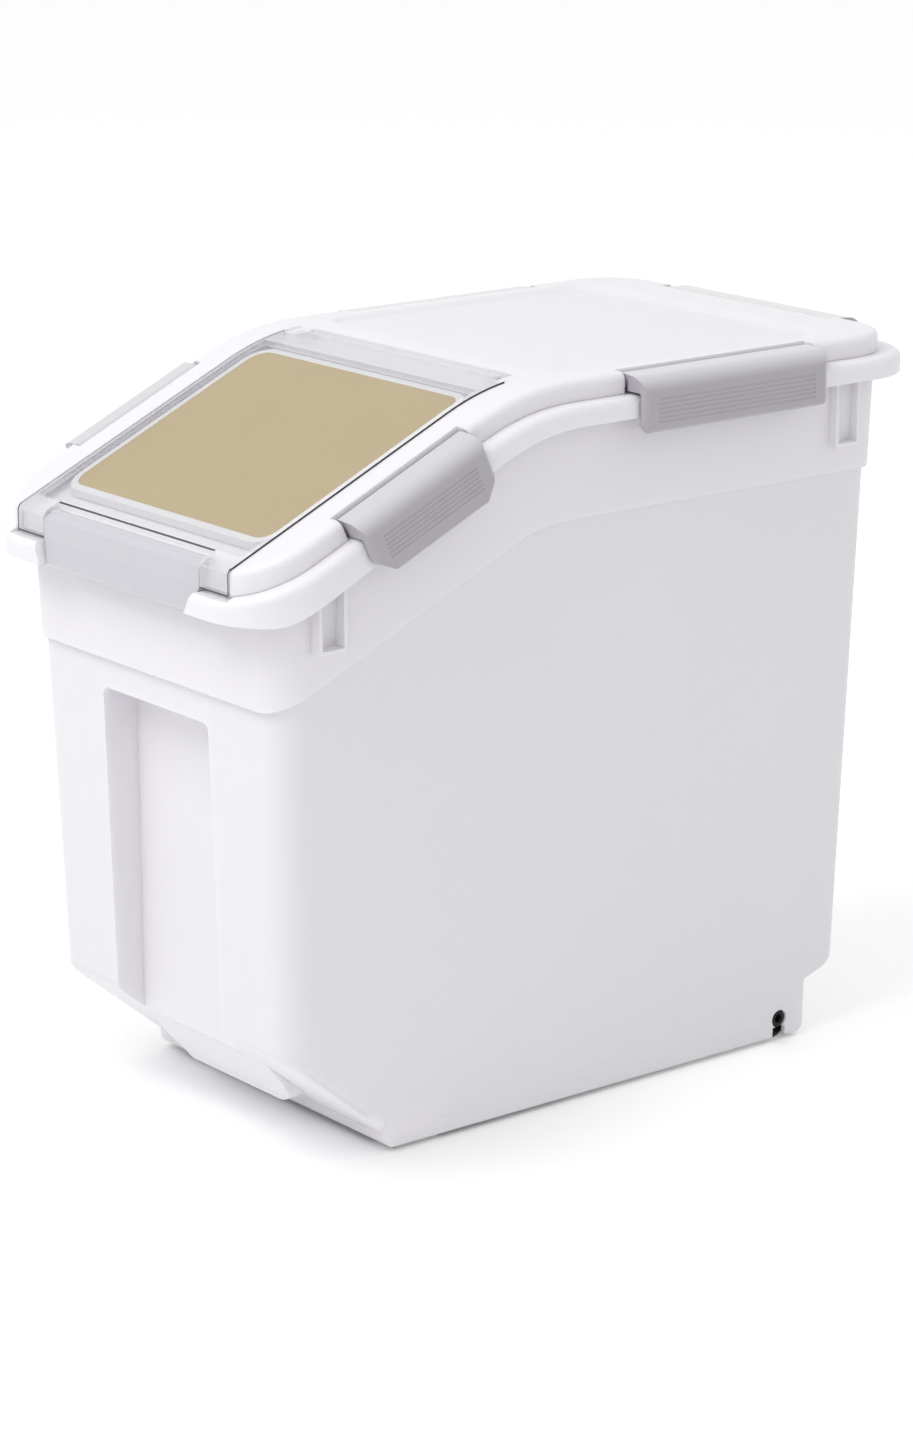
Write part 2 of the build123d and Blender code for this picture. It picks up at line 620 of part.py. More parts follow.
with BuildPart() as tub:
    add(belly(0, outer_outline, [TOE_R, 0, 0, 0, 0, 0, 0, TOE_R]))
    low_edges = tub.edges().filter_by(Axis.X).filter_by_position(Axis.Z, TOE_Z + BITE, RIM_Z / 2)
    fillet(low_edges.sort_by(Axis.Y)[0], TOE_EDGE_R)
    low_edges = tub.edges().filter_by(Axis.X).filter_by_position(Axis.Z, HEEL_Z + BITE, RIM_Z / 2)
    fillet(low_edges.sort_by(Axis.Y)[-1], HEEL_EDGE_R)
    add(between(flange_plan, RIM_DROP), mode=Mode.INTERSECT)
    add(collar.part)
    add(flange.part)
    add(shelf.part)
    add(keeper.part)
    add(braces.part)
    add(bulge.part)
    add(cavity.part, mode=Mode.SUBTRACT)
    add(between(mouth_plan(BORE_INSET), 0, RIM_DROP + BORE_DEPTH), mode=Mode.SUBTRACT)
    add(block((-shelf_x, shelf_x), (-SKY, shelf_back), (SHELF_Z, SKY)), mode=Mode.SUBTRACT)
    add(latch_bay(0, KEEPER_Y), mode=Mode.SUBTRACT)
    add(grip.part, mode=Mode.SUBTRACT)
    add(belly(WALL, span(TOE_Y + WALL, HEEL_IN, 0, CEILING)), mode=Mode.SUBTRACT)
    add(well_walls.part)
    add(well_rooms.part, mode=Mode.SUBTRACT)
    add(feet.part)
    for side in SIDES.values():
        boss_in = SKIRT_X - WALL - AXLE_BOSS_T
        add(rod(side, (boss_in, SKIRT_X - WALL / 2), AXLE_Y, AXLE_Z, AXLE_BOSS_R))
        bore = rod(side, (CLIP_OUT, SKIRT_X + WALL), AXLE_Y, AXLE_Z, AXLE_R + PIN_SEAT)
        add(bore, mode=Mode.SUBTRACT)
        head_room = rod(side, (HEAD_IN, SKIRT_X + WALL), AXLE_Y, AXLE_Z, AXLE_HEAD_R + AXLE_HEAD_GAP)
        add(head_room, mode=Mode.SUBTRACT)
        notch_x = sorted((side * boss_in - side * BITE, side * (SKIRT_X + WALL)))
        notch_y = (AXLE_Y - SKIRT_NOTCH_W / 2, AXLE_Y + SKIRT_NOTCH_W / 2)
        add(block(notch_x, notch_y, (0, SKIRT_Z + SKIRT_NOTCH_H)), mode=Mode.SUBTRACT)
        pad_x = (side * PAD_X - PAD_W / 2 - PAD_GAP, side * PAD_X + PAD_W / 2 + PAD_GAP)
        pad_y = (PAD_Y - PAD_L / 2 - PAD_GAP, PAD_Y + PAD_L / 2 + PAD_GAP)
        add(block(pad_x, pad_y, (0, SKIRT_Z + PAD_SET)), mode=Mode.SUBTRACT)
save(tub, "tub")

# Wheels with their axles and clips, and the foot pads
for side_name, side in SIDES.items():
    with BuildPart() as wheel:
        add(rod(side, (WHEEL_IN, WHEEL_OUT), AXLE_Y, AXLE_Z, WHEEL_R))
        fillet(wheel.edges(), WHEEL_EDGE_R)
        bore = rod(side, (WHEEL_IN - BITE, WHEEL_OUT + BITE), AXLE_Y, AXLE_Z, AXLE_R + PIN_RUN)
        add(bore, mode=Mode.SUBTRACT)
    save(wheel, f"wheel_{side_name}")

    with BuildPart() as axle:
        add(rod(side, (CLIP_IN - AXLE_END, HEAD_IN), AXLE_Y, AXLE_Z, AXLE_R))
        add(rod(side, (HEAD_IN, HEAD_OUT), AXLE_Y, AXLE_Z, AXLE_HEAD_R))
    save(axle, f"axle_{side_name}")

    with BuildPart() as clip:
        add(rod(side, (CLIP_IN, CLIP_OUT), AXLE_Y, AXLE_Z, CLIP_R))
        bore = rod(side, (CLIP_IN - BITE, CLIP_OUT + BITE), AXLE_Y, AXLE_Z, AXLE_R + PIN_SEAT)
        add(bore, mode=Mode.SUBTRACT)
    save(clip, f"axle_clip_{side_name}")

    with BuildPart() as pad:
        pad_x = (side * PAD_X - PAD_W / 2, side * PAD_X + PAD_W / 2)
        add(block(pad_x, (PAD_Y - PAD_L / 2, PAD_Y + PAD_L / 2), (0, SKIRT_Z + PAD_SET)))
    save(pad, f"foot_pad_{side_name}")

# Lid
lid_plan = rounded(LID_X, LID_FRONT, LID_REAR, LID_R)
lid_in_plan = rounded(LID_X - LID_WALL, LID_FRONT + LID_WALL, LID_REAR - LID_WALL, LID_R - LID_WALL)
recess_plan = rounded(RECESS_X, -SKY, RECESS_BACK, RECESS_R)
recess_wall_plan = rounded(RECESS_X + LID_WALL, -SKY, RECESS_BACK + LID_WALL, RECESS_R + LID_WALL)
opening_plan = rounded(OPENING_W / 2, OPENING_FRONT, OPENING_REAR, OPENING_R)
PLUG_INSET = BORE_INSET + PLUG_GAP
PLUG_DROP = RIM_DROP + PLUG_DEPTH


def ring(inset, wall, top, bottom):
    """Upright band of one thickness, set in from the mouth all round."""
    with BuildPart(mode=Mode.PRIVATE) as made:
        add(between(mouth_plan(inset), top, bottom))
        add(between(mouth_plan(inset + wall), top - BITE, bottom + BITE), mode=Mode.SUBTRACT)
    return made.part


def latch_seat(plane, length):
    """Bar along a latch's hinge, from behind its axis to the lid's edge."""
    with BuildPart(mode=Mode.PRIVATE) as made:
        with BuildSketch(plane):
            with BuildLine():
                Polyline(
                    (-NOTCH_BACK, -LUG_DEEP),
                    (LATCH_IN, -LUG_DEEP),
                    (LATCH_IN, LATCH_DROP),
                    (-NOTCH_BACK, LATCH_DROP),
                    close=True,
                )
            make_face()
        extrude(amount=length / 2, both=True)
    return made.part


def latch_notch(plane, length):
    """Cut through the lid's edge for one latch."""
    with BuildPart(mode=Mode.PRIVATE) as made:
        with BuildSketch(plane):
            with BuildLine():
                Polyline(
                    (-NOTCH_BACK, -RIM_DROP),
                    (RIM_DROP, -RIM_DROP),
                    (RIM_DROP, RIM_DROP),
                    (-NOTCH_BACK, RIM_DROP),
                    close=True,
                )
            make_face()
        extrude(amount=length / 2 + NOTCH_END, both=True)
    return made.part


def hinge_rod(plane, length, radius):
    """Rod along a hinge, centred on its plane."""
    with BuildPart(mode=Mode.PRIVATE) as made:
        with BuildSketch(plane):
            Circle(radius)
        extrude(amount=length / 2, both=True)
    return made.part


# Room under the lid's top, leaving the recess walls and the latch pins' seats
with BuildPart() as lid_room:
    add(between(lid_in_plan, LID_T, RIM_DROP))
    add(between(recess_wall_plan, 0, RIM_DROP + LID_T), mode=Mode.SUBTRACT)
    for plane, reach, below, length, corner in LID_LATCHES.values():
        add(latch_seat(plane, length + 2 * (NOTCH_END + LUG)), mode=Mode.SUBTRACT)

# Sunk panel on the flat part
with BuildPart() as panel:
    with BuildSketch(Plane.XY.offset(LID_TOP)):
        add(rounded(PANEL_W / 2, PANEL_FRONT, PANEL_REAR, PANEL_R))
    with BuildSketch(Plane.XY.offset(LID_TOP - PANEL_DEPTH)):
        add(
            rounded(
                PANEL_W / 2 - PANEL_SLOPE,
                PANEL_FRONT + PANEL_SLOPE,
                PANEL_REAR - PANEL_SLOPE_REAR,
                PANEL_R - PANEL_SLOPE,
            )
        )
    loft()

# Bosses in the recess's rear corners, which hold the door's hinge pins
BOSS_IN = DOOR_BARREL_W / 2 + BOSS_SIDE_GAP
with BuildPart() as bosses:
    for side in SIDES.values():
        boss_x = sorted((side * BOSS_IN, side * (RECESS_X + BITE)))
        boss_y = (DOOR_HINGE_Y - BOSS_FRONT, RECESS_BACK + BITE)
        add(block(boss_x, boss_y, (0, SKY)))
    add(between(lid_plan, BOSS_DROP, SIDE_DROP - BITE), mode=Mode.INTERSECT)

with BuildPart() as lid:
    add(between(lid_plan, 0, SIDE_DROP))
    lid_edges = lid.edges().filter_by(
        lambda e: e.center().Z > lid_height(LID_T, e.center().Y)
        and (abs(e.center().X) > BITE or not LID_FRONT + BITE < e.center().Y < LID_REAR - BITE)
    )
    fillet(lid_edges, LID_EDGE_R)
    add(lid_room.part, mode=Mode.SUBTRACT)
    add(ring(PLUG_INSET, PLUG_T, LID_T - BITE, PLUG_DROP))
    add(between(recess_plan, -RIM_DROP, DECK_DROP), mode=Mode.SUBTRACT)
    add(block((-RECESS_X, RECESS_X), (-SKY, LID_BROW), (0, SKY)), mode=Mode.SUBTRACT)
    add(between(opening_plan, 0, PLUG_DROP), mode=Mode.SUBTRACT)
    add(panel.part, mode=Mode.SUBTRACT)
    for plane, reach, below, length, corner in LID_LATCHES.values():
        add(latch_notch(plane, length), mode=Mode.SUBTRACT)
        seat = hinge_rod(plane, length + 2 * (NOTCH_END + LUG), LATCH_PIN_R + PIN_SEAT)
        add(seat, mode=Mode.SUBTRACT)
    add(bosses.part)
    for side in SIDES.values():
        seat_x = (BOSS_IN - BITE, RECESS_X + BITE)
        seat = rod(side, seat_x, DOOR_HINGE_Y, DOOR_HINGE_Z, DOOR_PIN_R + PIN_SEAT)
        add(seat, mode=Mode.SUBTRACT)
save(lid, "lid")

# Seal round the lid's plug
SEAL_T = PLUG_GAP - RUN
with BuildPart() as lid_gasket:
    add(ring(PLUG_INSET - SEAL_T, SEAL_T, RIM_DROP + SEAL_TOP, RIM_DROP + SEAL_TOP + SEAL_H))
save(lid_gasket, "lid_gasket")

# Flip door
FRONT_PLANE = latch_plane((0, FRONT_PIN_Y, FRONT_PIN_Z), (0, -1, 0), LEVEL)
DOOR_UNDER = DOOR_T - DOOR_PROUD
with BuildPart() as door:
    with BuildSketch(Plane.YZ):
        with BuildLine():
            upper = bent(-DOOR_PROUD)
            lower = bent(DOOR_UNDER)
            Line(upper @ 0, lower @ 0)
            Line(upper @ 1, lower @ 1)
        make_face()
    extrude(amount=DOOR_W / 2, both=True)
    add(block((-SKY, SKY), (-SKY, APRON_FRONT), (-SKY, SKY)), mode=Mode.SUBTRACT)
    add(block((-SKY, SKY), (DOOR_HINGE_Y, SKY), (-SKY, SKY)), mode=Mode.SUBTRACT)
    apron_y = (APRON_FRONT, APRON_FRONT + DOOR_T)
    apron_z = (APRON_Z, lid_height(DOOR_UNDER - BITE, APRON_FRONT))
    add(block((-DOOR_W / 2, DOOR_W / 2), apron_y, apron_z))
    brow = door.edges().filter_by(Axis.X).filter_by_position(Axis.Y, APRON_FRONT - BITE, APRON_FRONT + BITE)
    fillet(brow.sort_by(Axis.Z)[-1], DOOR_EDGE_R)
    bay_y = (-SKY, APRON_FRONT + LATCH_BAY)
    add(block((-BAY_X, BAY_X), bay_y, (-SKY, SKY)), mode=Mode.SUBTRACT)
    for side in SIDES.values():
        corner_in = DOOR_BARREL_W / 2
        corner_x = sorted((side * corner_in, side * SKY))
        corner_y = (DOOR_HINGE_Y - BOSS_FRONT - DOOR_CORNER, SKY)
        add(block(corner_x, corner_y, (-SKY, SKY)), mode=Mode.SUBTRACT)
    add(rod(1, (-DOOR_BARREL_W / 2, DOOR_BARREL_W / 2), DOOR_HINGE_Y, DOOR_HINGE_Z, DOOR_BARREL_R))
    with BuildSketch(mode=Mode.PRIVATE) as ear_plan:
        for side in SIDES.values():
            with Locations((side * (BAY_X + EAR_T / 2), FRONT_PIN_Y)):
                Rectangle(EAR_T, 2 * EAR_REACH)
    add(between(ear_plan.sketch, DOOR_UNDER - BITE, DECK_DROP - RUN))
    add(hinge_rod(FRONT_PLANE, 2 * (BAY_X + EAR_T), LATCH_PIN_R + PIN_SEAT), mode=Mode.SUBTRACT)
    for side in SIDES.values():
        pin_x = (DOOR_BARREL_W / 2 - DOOR_PIN_IN - BITE, DOOR_BARREL_W / 2 + BITE)
        bore = rod(side, pin_x, DOOR_HINGE_Y, DOOR_HINGE_Z, DOOR_PIN_R + PIN_RUN)
        add(bore, mode=Mode.SUBTRACT)
save(door, "door")

for side_name, side in SIDES.items():
    with BuildPart() as door_pin:
        pin_x = (DOOR_BARREL_W / 2 - DOOR_PIN_IN, RECESS_X)
        add(rod(side, pin_x, DOOR_HINGE_Y, DOOR_HINGE_Z, DOOR_PIN_R))
    save(door_pin, f"door_pin_{side_name}")

# Tan panel and its seal under the door
WINDOW_X = OPENING_W / 2 + WINDOW_LAP
WINDOW_FRONT = OPENING_FRONT - WINDOW_LAP
WINDOW_REAR = OPENING_REAR + WINDOW_LAP
WINDOW_R = OPENING_R + WINDOW_LAP
with BuildPart() as door_window:
    window_plan = rounded(WINDOW_X, WINDOW_FRONT, WINDOW_REAR, WINDOW_R)
    add(between(window_plan, DOOR_UNDER + SKIN, DOOR_UNDER + SKIN + WINDOW_T))
save(door_window, "door_window")

with BuildPart() as door_gasket:
    seal_plan = rounded(
        WINDOW_X + DOOR_SEAL_W, WINDOW_FRONT - DOOR_SEAL_W, WINDOW_REAR + DOOR_SEAL_W, WINDOW_R + DOOR_SEAL_W
    )
    add(between(seal_plan, DOOR_UNDER + SKIN, DECK_DROP - RUN))
    seal_in_plan = rounded(WINDOW_X + SKIN, WINDOW_FRONT - SKIN, WINDOW_REAR + SKIN, WINDOW_R + SKIN)
    add(between(seal_in_plan, DOOR_UNDER, DECK_DROP), mode=Mode.SUBTRACT)
save(door_gasket, "door_gasket")


def latch_cheeks(plane, points, radii, length):
    """Walls that close the two ends of a latch, drawn about its hinge axis."""
    with BuildSketch(plane) as drawn:
        with BuildLine():
            FilletPolyline(*points, radius=radii, close=True)
        make_face()
    extrude(drawn.sketch, amount=length / 2, both=True)
    extrude(drawn.sketch, amount=length / 2 - CHEEK_T, both=True, mode=Mode.SUBTRACT)


def latch_body(plane, section, barrel, length, bottom, along, rise):
    """Latch of one section, with a round barrel on its hinge and its lower corners cut away.

    The section is drawn about the hinge axis. The bottom is its lowest height there, and the cuts
    run along and up the latch.
    """
    points, radii = section
    with BuildSketch(plane) as drawn:
        with BuildLine():
            FilletPolyline(*points, radius=radii, close=True)
        make_face()
        Circle(barrel)
    half = length / 2
    extrude(drawn.sketch, amount=half, both=True)
    with BuildSketch(Plane(plane.origin, x_dir=plane.z_dir, z_dir=-plane.x_dir)) as outline:
        with BuildLine():
            Polyline(
                (-half, barrel),
                (-half, bottom + rise),
                (along - half, bottom),
                (half - along, bottom),
                (half, bottom + rise),
                (half, barrel),
                close=True,
            )
        make_face()
    extrude(outline.sketch, amount=SKY, both=True, mode=Mode.INTERSECT)
    add(hinge_rod(plane, length + BITE, LATCH_PIN_R + PIN_RUN), mode=Mode.SUBTRACT)


# Latches on the lid, with grooves along their outer faces, and their pins
for name, (plane, reach, below, length, corner) in LID_LATCHES.items():
    latch_inner = reach + LATCH_GAP
    latch_outer = latch_inner + LATCH_T
    tip = reach + RUN
    hook_top = -below - HOOK_BELOW
    bottom = hook_top - HOOK_H
    crown = LATCH_BARREL_R - LATCH_FALL
    latch_section = [
        (0, LATCH_BARREL_R),
        (latch_outer, crown),
        (latch_outer, bottom),
        (tip, bottom),
        (tip, hook_top),
        (latch_inner, hook_top + HOOK_RAMP),
        (latch_inner, crown - LATCH_T),
        (0, LATCH_BARREL_R - LATCH_T),
    ]
    latch_radii = [0, LATCH_CROWN_R, LATCH_FOOT_R, 0, 0, 0, LATCH_CROWN_R - LATCH_T, 0]
    rim_top = LATCH_DROP - RIM_DROP + LATCH_GAP
    cheek_section = [
        (LATCH_IN + RUN, LATCH_BARREL_R - LATCH_T),
        (latch_inner, crown - LATCH_T),
        (latch_inner, rim_top),
        (LATCH_IN + RUN, rim_top),
    ]
    shape = (latch_section, latch_radii)
    with BuildPart() as latch:
        latch_cheeks(plane, cheek_section, 0, length)
        latch_body(plane, shape, LATCH_BARREL_R, length, bottom, corner, corner)
        with BuildSketch(Plane(plane.origin, x_dir=plane.z_dir, z_dir=plane.y_dir)):
            with Locations((0, latch_outer - SKY / 2)):
                RectangleRounded(length, SKY, LATCH_END_R)
        extrude(amount=SKY, both=True, mode=Mode.INTERSECT)
        face = Plane(plane.origin, x_dir=plane.z_dir, z_dir=plane.x_dir)
        with BuildSketch(face.offset(latch_outer - GROOVE_DEPTH)):
            with Locations((0, GROOVE_DROP - LATCH_DROP)):
                with GridLocations(0, GROOVE_PITCH, 1, GROOVES):
                    Rectangle(length - 2 * GROOVE_END, GROOVE_W)
        extrude(amount=LATCH_T, mode=Mode.SUBTRACT)
    save(latch, name)

    with BuildPart() as latch_pin:
        add(hinge_rod(plane, length + 2 * (NOTCH_END + LUG) - RUN, LATCH_PIN_R))
    save(latch_pin, f"{name}_pin")

# Front latch, flush with the door's front edge, and its pin in the door's ears
face_out = FRONT_PIN_Y - APRON_FRONT
face_in = face_out - LATCH_T
crown = DOOR_BARREL_R - FRONT_LATCH_FALL
waist = APRON_Z - FRONT_PIN_Z
foot_out = face_out + FRONT_LATCH_FLARE
foot = FLANGE_FRONT_Z - FRONT_LATCH_BELOW - FRONT_PIN_Z
tip = FRONT_PIN_Y - KEEPER_Y + RUN
hook_top = KEEPER_Z - RUN - FRONT_PIN_Z
front_section = [
    (0, DOOR_BARREL_R),
    (face_out, crown),
    (face_out, waist),
    (foot_out, foot),
    (tip, foot),
    (tip, hook_top),
    (foot_out - LATCH_T, hook_top + HOOK_RAMP),
    (face_in, waist),
    (face_in, crown - LATCH_T),
    (0, DOOR_BARREL_R - LATCH_T),
]
front_radii = [0, FRONT_CROWN_R, FRONT_WAIST_R, LATCH_FOOT_R, 0, 0, 0, 0, 0, 0]
cheek_section = [
    (0, DOOR_BARREL_R),
    (face_out, crown),
    (face_out, waist),
    (face_in, waist),
    (FRONT_PIN_Y - LID_BROW + RUN, lid_height(DECK_DROP, LID_BROW) + BITE - FRONT_PIN_Z),
    (0, -DOOR_BARREL_R),
]
with BuildPart() as front_latch:
    latch_cheeks(FRONT_PLANE, cheek_section, [0, FRONT_CROWN_R, 0, 0, 0, 0], FRONT_LATCH_W)
    latch_body(
        FRONT_PLANE,
        (front_section, front_radii),
        DOOR_BARREL_R,
        FRONT_LATCH_W,
        foot,
        FRONT_LATCH_TAPER,
        waist - foot,
    )
save(front_latch, "front_latch")

with BuildPart() as front_latch_pin:
    add(hinge_rod(FRONT_PLANE, 2 * (BAY_X + EAR_T), LATCH_PIN_R))
save(front_latch_pin, "front_latch_pin")
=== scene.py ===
"""Rolling ingredient bin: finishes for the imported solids, wheels, axles, stage and camera.

Metres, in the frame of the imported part: +Z is up, the front faces -Y, and the floor is at Z = 0.
"""

import math

import bmesh
import bpy
import numpy as np
from bpy.props import FloatProperty, FloatVectorProperty, IntProperty, PointerProperty
from mathutils import Matrix, Vector


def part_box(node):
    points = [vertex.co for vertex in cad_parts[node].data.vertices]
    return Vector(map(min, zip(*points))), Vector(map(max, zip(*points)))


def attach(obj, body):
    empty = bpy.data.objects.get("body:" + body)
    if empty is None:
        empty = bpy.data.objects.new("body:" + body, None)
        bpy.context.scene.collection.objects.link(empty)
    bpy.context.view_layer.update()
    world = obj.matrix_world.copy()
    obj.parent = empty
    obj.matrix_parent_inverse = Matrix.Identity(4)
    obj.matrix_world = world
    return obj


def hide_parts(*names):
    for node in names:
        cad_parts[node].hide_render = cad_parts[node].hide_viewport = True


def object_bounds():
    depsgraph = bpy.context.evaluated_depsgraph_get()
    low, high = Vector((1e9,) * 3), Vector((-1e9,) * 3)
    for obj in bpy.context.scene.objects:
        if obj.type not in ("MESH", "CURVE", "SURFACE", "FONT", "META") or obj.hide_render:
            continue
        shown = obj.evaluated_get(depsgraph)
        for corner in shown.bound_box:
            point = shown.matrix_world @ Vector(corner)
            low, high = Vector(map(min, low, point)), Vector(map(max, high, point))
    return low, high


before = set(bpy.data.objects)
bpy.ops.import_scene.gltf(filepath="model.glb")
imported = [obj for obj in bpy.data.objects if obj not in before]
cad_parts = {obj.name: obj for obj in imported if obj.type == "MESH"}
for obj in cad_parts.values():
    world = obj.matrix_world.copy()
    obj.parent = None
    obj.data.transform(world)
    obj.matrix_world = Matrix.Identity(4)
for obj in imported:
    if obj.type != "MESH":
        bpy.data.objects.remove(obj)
CAD_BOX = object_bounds()

bl_info = {
    "name": "Rolling ingredient bin",
    "version": (1, 0, 0),
    "blender": (4, 5, 0),
    "location": "View3D > Sidebar > Bin",
    "description": "Finishes, wheels, axles and stage of a rolling ingredient bin",
    "category": "Object",
}

MM = 0.001
WHITE = (1.0, 1.0, 1.0)

# Like pieces. The front latch has a finish of its own.
SIDES = ("left", "right")
LATCHES = (
    "right_front_latch",
    "right_rear_latch",
    "left_front_latch",
    "left_rear_latch",
    "rear_latch",
)

# The lid's top, which the door follows.
SLOPE = math.radians(24.4)  # fall of the front part
BEND_R = 130.0 * MM  # of the bend between the two parts
BEND_CENTRE = (-20.993 * MM, 220.0 * MM)  # y and z
DOOR_PROUD = 0.6 * MM  # the door above the lid

# Painted dark lines of the clear door (painted shade of its gaps and painted dark refraction at its
# cut edges), and its frost.
EDGE_LINE = 0.9 * MM  # height of the painted dark line on a cut edge
CORNER_LINE = 0.8 * MM  # width of the painted dark line at a front corner
SIDE_DEPTH = 0.5 * MM  # how far in a face still counts as the side
LATCH_ROOM = 1.0 * MM  # either way from the front latch's end
LATCH_BAY = (5.0 * MM, 12.0 * MM)  # where the wall behind the latch is, from the door's front
FROST_FADE = (8.0 * MM, 11.0 * MM)  # where the frost beside the latch ends, from the door's front
MARGIN_FADE = 1.5 * MM  # in which the frost starts beyond the seal

# Turned pieces.
RUN_SAMPLES = 6  # points on a run between two knots of a profile
TURN_SAMPLES = 96  # points round a piece
MERGE = 0.001 * MM  # points nearer than this are one
SHARP = math.radians(35.0)  # edges that are shaded sharp
EDGE_TURNS = [math.radians(turn) for turn in (0.0, 30.0, 60.0, 90.0)]  # round a tread's edge
WEB_PARTS = (0.0, 0.25, 0.5, 0.75, 1.0)  # of the way from a wheel's hub to its rim
SPOKE_EDGE = (0.1, 0.6)  # cosines at which a spoke starts and is full
CREST_PARTS = (0.95, 0.8, 0.6, 0.4, 0.2, 0.0)  # of the way from an axle's hole to its head's edge
ROD_TIP = 0.85  # radius of an axle's end, and
ROD_CHAMFER = 0.1  # length of its chamfer, in radii of the rod
HOLE_MOUTH = 0.9  # radius of an axle's hole behind the crown, and
HOLE_END = 0.85  # at its end, in radii of the hole

# Stage.
PHOTO_LONG_SIDE = 1440.0  # pixels
FOCAL_PIXELS = 4130.533
SHIFT_PIXELS = (-3.139, 12.852)
SENSOR = 36.0  # mm along the frame's long side
CLIP = (0.05, 50.0)
FLOOR_HALF = 6.0
NEAR_FLOOR = (0.14, 0.32)  # from the bin's front, where the floor's lift grows and is full; the smaller lift nearer the bin paints a deeper shadow
LAMP_AIM = Vector((0.0, 0.0, 0.15))
KEY_PLACE, KEY_SIZE = (-0.1, -1.45, 2.0), (1.6, 1.2)
FILL_PLACE, FILL_SIZE = (1.9, -0.1, 0.25), (1.2, 0.5)


class Wire:
    """A node socket; arithmetic on it adds Math nodes, and | takes the larger of two masks."""

    def __init__(self, finish, socket):
        self.finish = finish
        self.socket = socket

    def __add__(self, other):
        return self.finish.math("ADD", self, other)

    def __sub__(self, other):
        return self.finish.math("SUBTRACT", self, other)

    def __rsub__(self, other):
        return self.finish.math("SUBTRACT", other, self)

    def __mul__(self, other):
        return self.finish.math("MULTIPLY", self, other)

    def __or__(self, other):
        return self.finish.math("MAXIMUM", self, other)

    def __abs__(self):
        return self.finish.math("ABSOLUTE", self)

    def __gt__(self, other):
        return self.finish.math("GREATER_THAN", self, other)

    def __lt__(self, other):
        return self.finish.math("LESS_THAN", self, other)

    __radd__ = __add__
    __rmul__ = __mul__
    __ror__ = __or__


class Finish:
    """A material, or the world, while its nodes are put together."""

    def __init__(self, holder):
        self.holder = holder
        self.holder.use_nodes = True
        self.tree = holder.node_tree
        self.tree.nodes.clear()

    def add(self, kind, settings=None, sockets=None, output=0):
        """Adds a node, sets its settings, then its sockets' values or links; returns one output."""
        node = self.tree.nodes.new(kind)
        for key, value in (settings or {}).items():
            setattr(node, key, value)
        for key, value in (sockets or {}).items():
            if isinstance(value, Wire):
                self.tree.links.new(value.socket, node.inputs[key])
            else:
                node.inputs[key].default_value = value
        return Wire(self, node.outputs[output]) if node.outputs else None

    def math(self, operation, *values):
        """A Math node on values or links."""
        return self.add("ShaderNodeMath", {"operation": operation}, dict(enumerate(values)))

    def place(self):
        """Object coordinates, in metres."""
        return self.add("ShaderNodeTexCoord", output="Object")

    def facing(self):
        """The way that a face looks, in object coordinates."""
        return self.add("ShaderNodeTexCoord", output="Normal")

    def split(self, vector):
        """The three parts of a vector."""
        first = self.add("ShaderNodeSeparateXYZ", None, {0: vector})
        return [Wire(self, part) for part in first.socket.node.outputs]

    def noise(self, place, scale, detail=2.0, stretch=(1.0, 1.0, 1.0)):
        """Noise from 0 to 1 with that many cells in a metre, stretched along the axes."""
        spread = self.add("ShaderNodeMapping", None, {"Vector": place, "Scale": stretch})
        sockets = {"Vector": spread, "Scale": scale, "Detail": detail}
        return self.add("ShaderNodeTexNoise", None, sockets)

    def band(self, value, low, high):
        """0 below low, 1 above high, smooth between."""
        settings = {"interpolation_type": "SMOOTHSTEP"}
        sockets = {"Value": value, "From Min": low, "From Max": high}
        return self.add("ShaderNodeMapRange", settings, sockets)

    def mix(self, mask, first, second):
        """Second colour over the first by a mask."""
        sockets = {0: mask, 6: first, 7: second}
        return self.add("ShaderNodeMix", {"data_type": "RGBA"}, sockets, output=2)

    def soft_normal(self, radius):
        """Normal with the edges rounded off to a radius."""
        return self.add("ShaderNodeBevel", {"samples": 6}, {"Radius": radius})

    def edge(self, soft):
        """1 on rounded-off edges, 0 on the faces between them."""
        flat = self.add("ShaderNodeNewGeometry", output="Normal")
        settings = {"operation": "DOT_PRODUCT"}
        match = self.add("ShaderNodeVectorMath", settings, {0: soft, 1: flat}, output="Value")
        return self.band(1.0 - match, low=0.01, high=0.2)

    def relief(self, height, depth, soft=None):
        """Normal of a fine relief of that depth in metres."""
        sockets = {"Height": height, "Distance": depth}
        if soft:
            sockets["Normal"] = soft
        return self.add("ShaderNodeBump", None, sockets)

    def surface(self, sockets):
        """Ends the material with its shader."""
        shader = self.add("ShaderNodeBsdfPrincipled", None, sockets)
        self.add("ShaderNodeOutputMaterial", None, {"Surface": shader})
        return self.holder


def new_finish(name):
    """Starts a material of that name."""
    return Finish(bpy.data.materials.new(name))


def seen_directly(finish):
    """1 for rays from the camera, in reflections and through clear pieces, 0 for all others."""
    rays = ("Is Camera Ray", "Is Glossy Ray", "Is Transmission Ray")
    seen, glossy, through = (finish.add("ShaderNodeLightPath", output=ray) for ray in rays)
    return seen | glossy | through


def shade(colour, level=1.0):
    """A colour times a level, as RGBA."""
    return tuple(level * part for part in colour) + (1.0,)


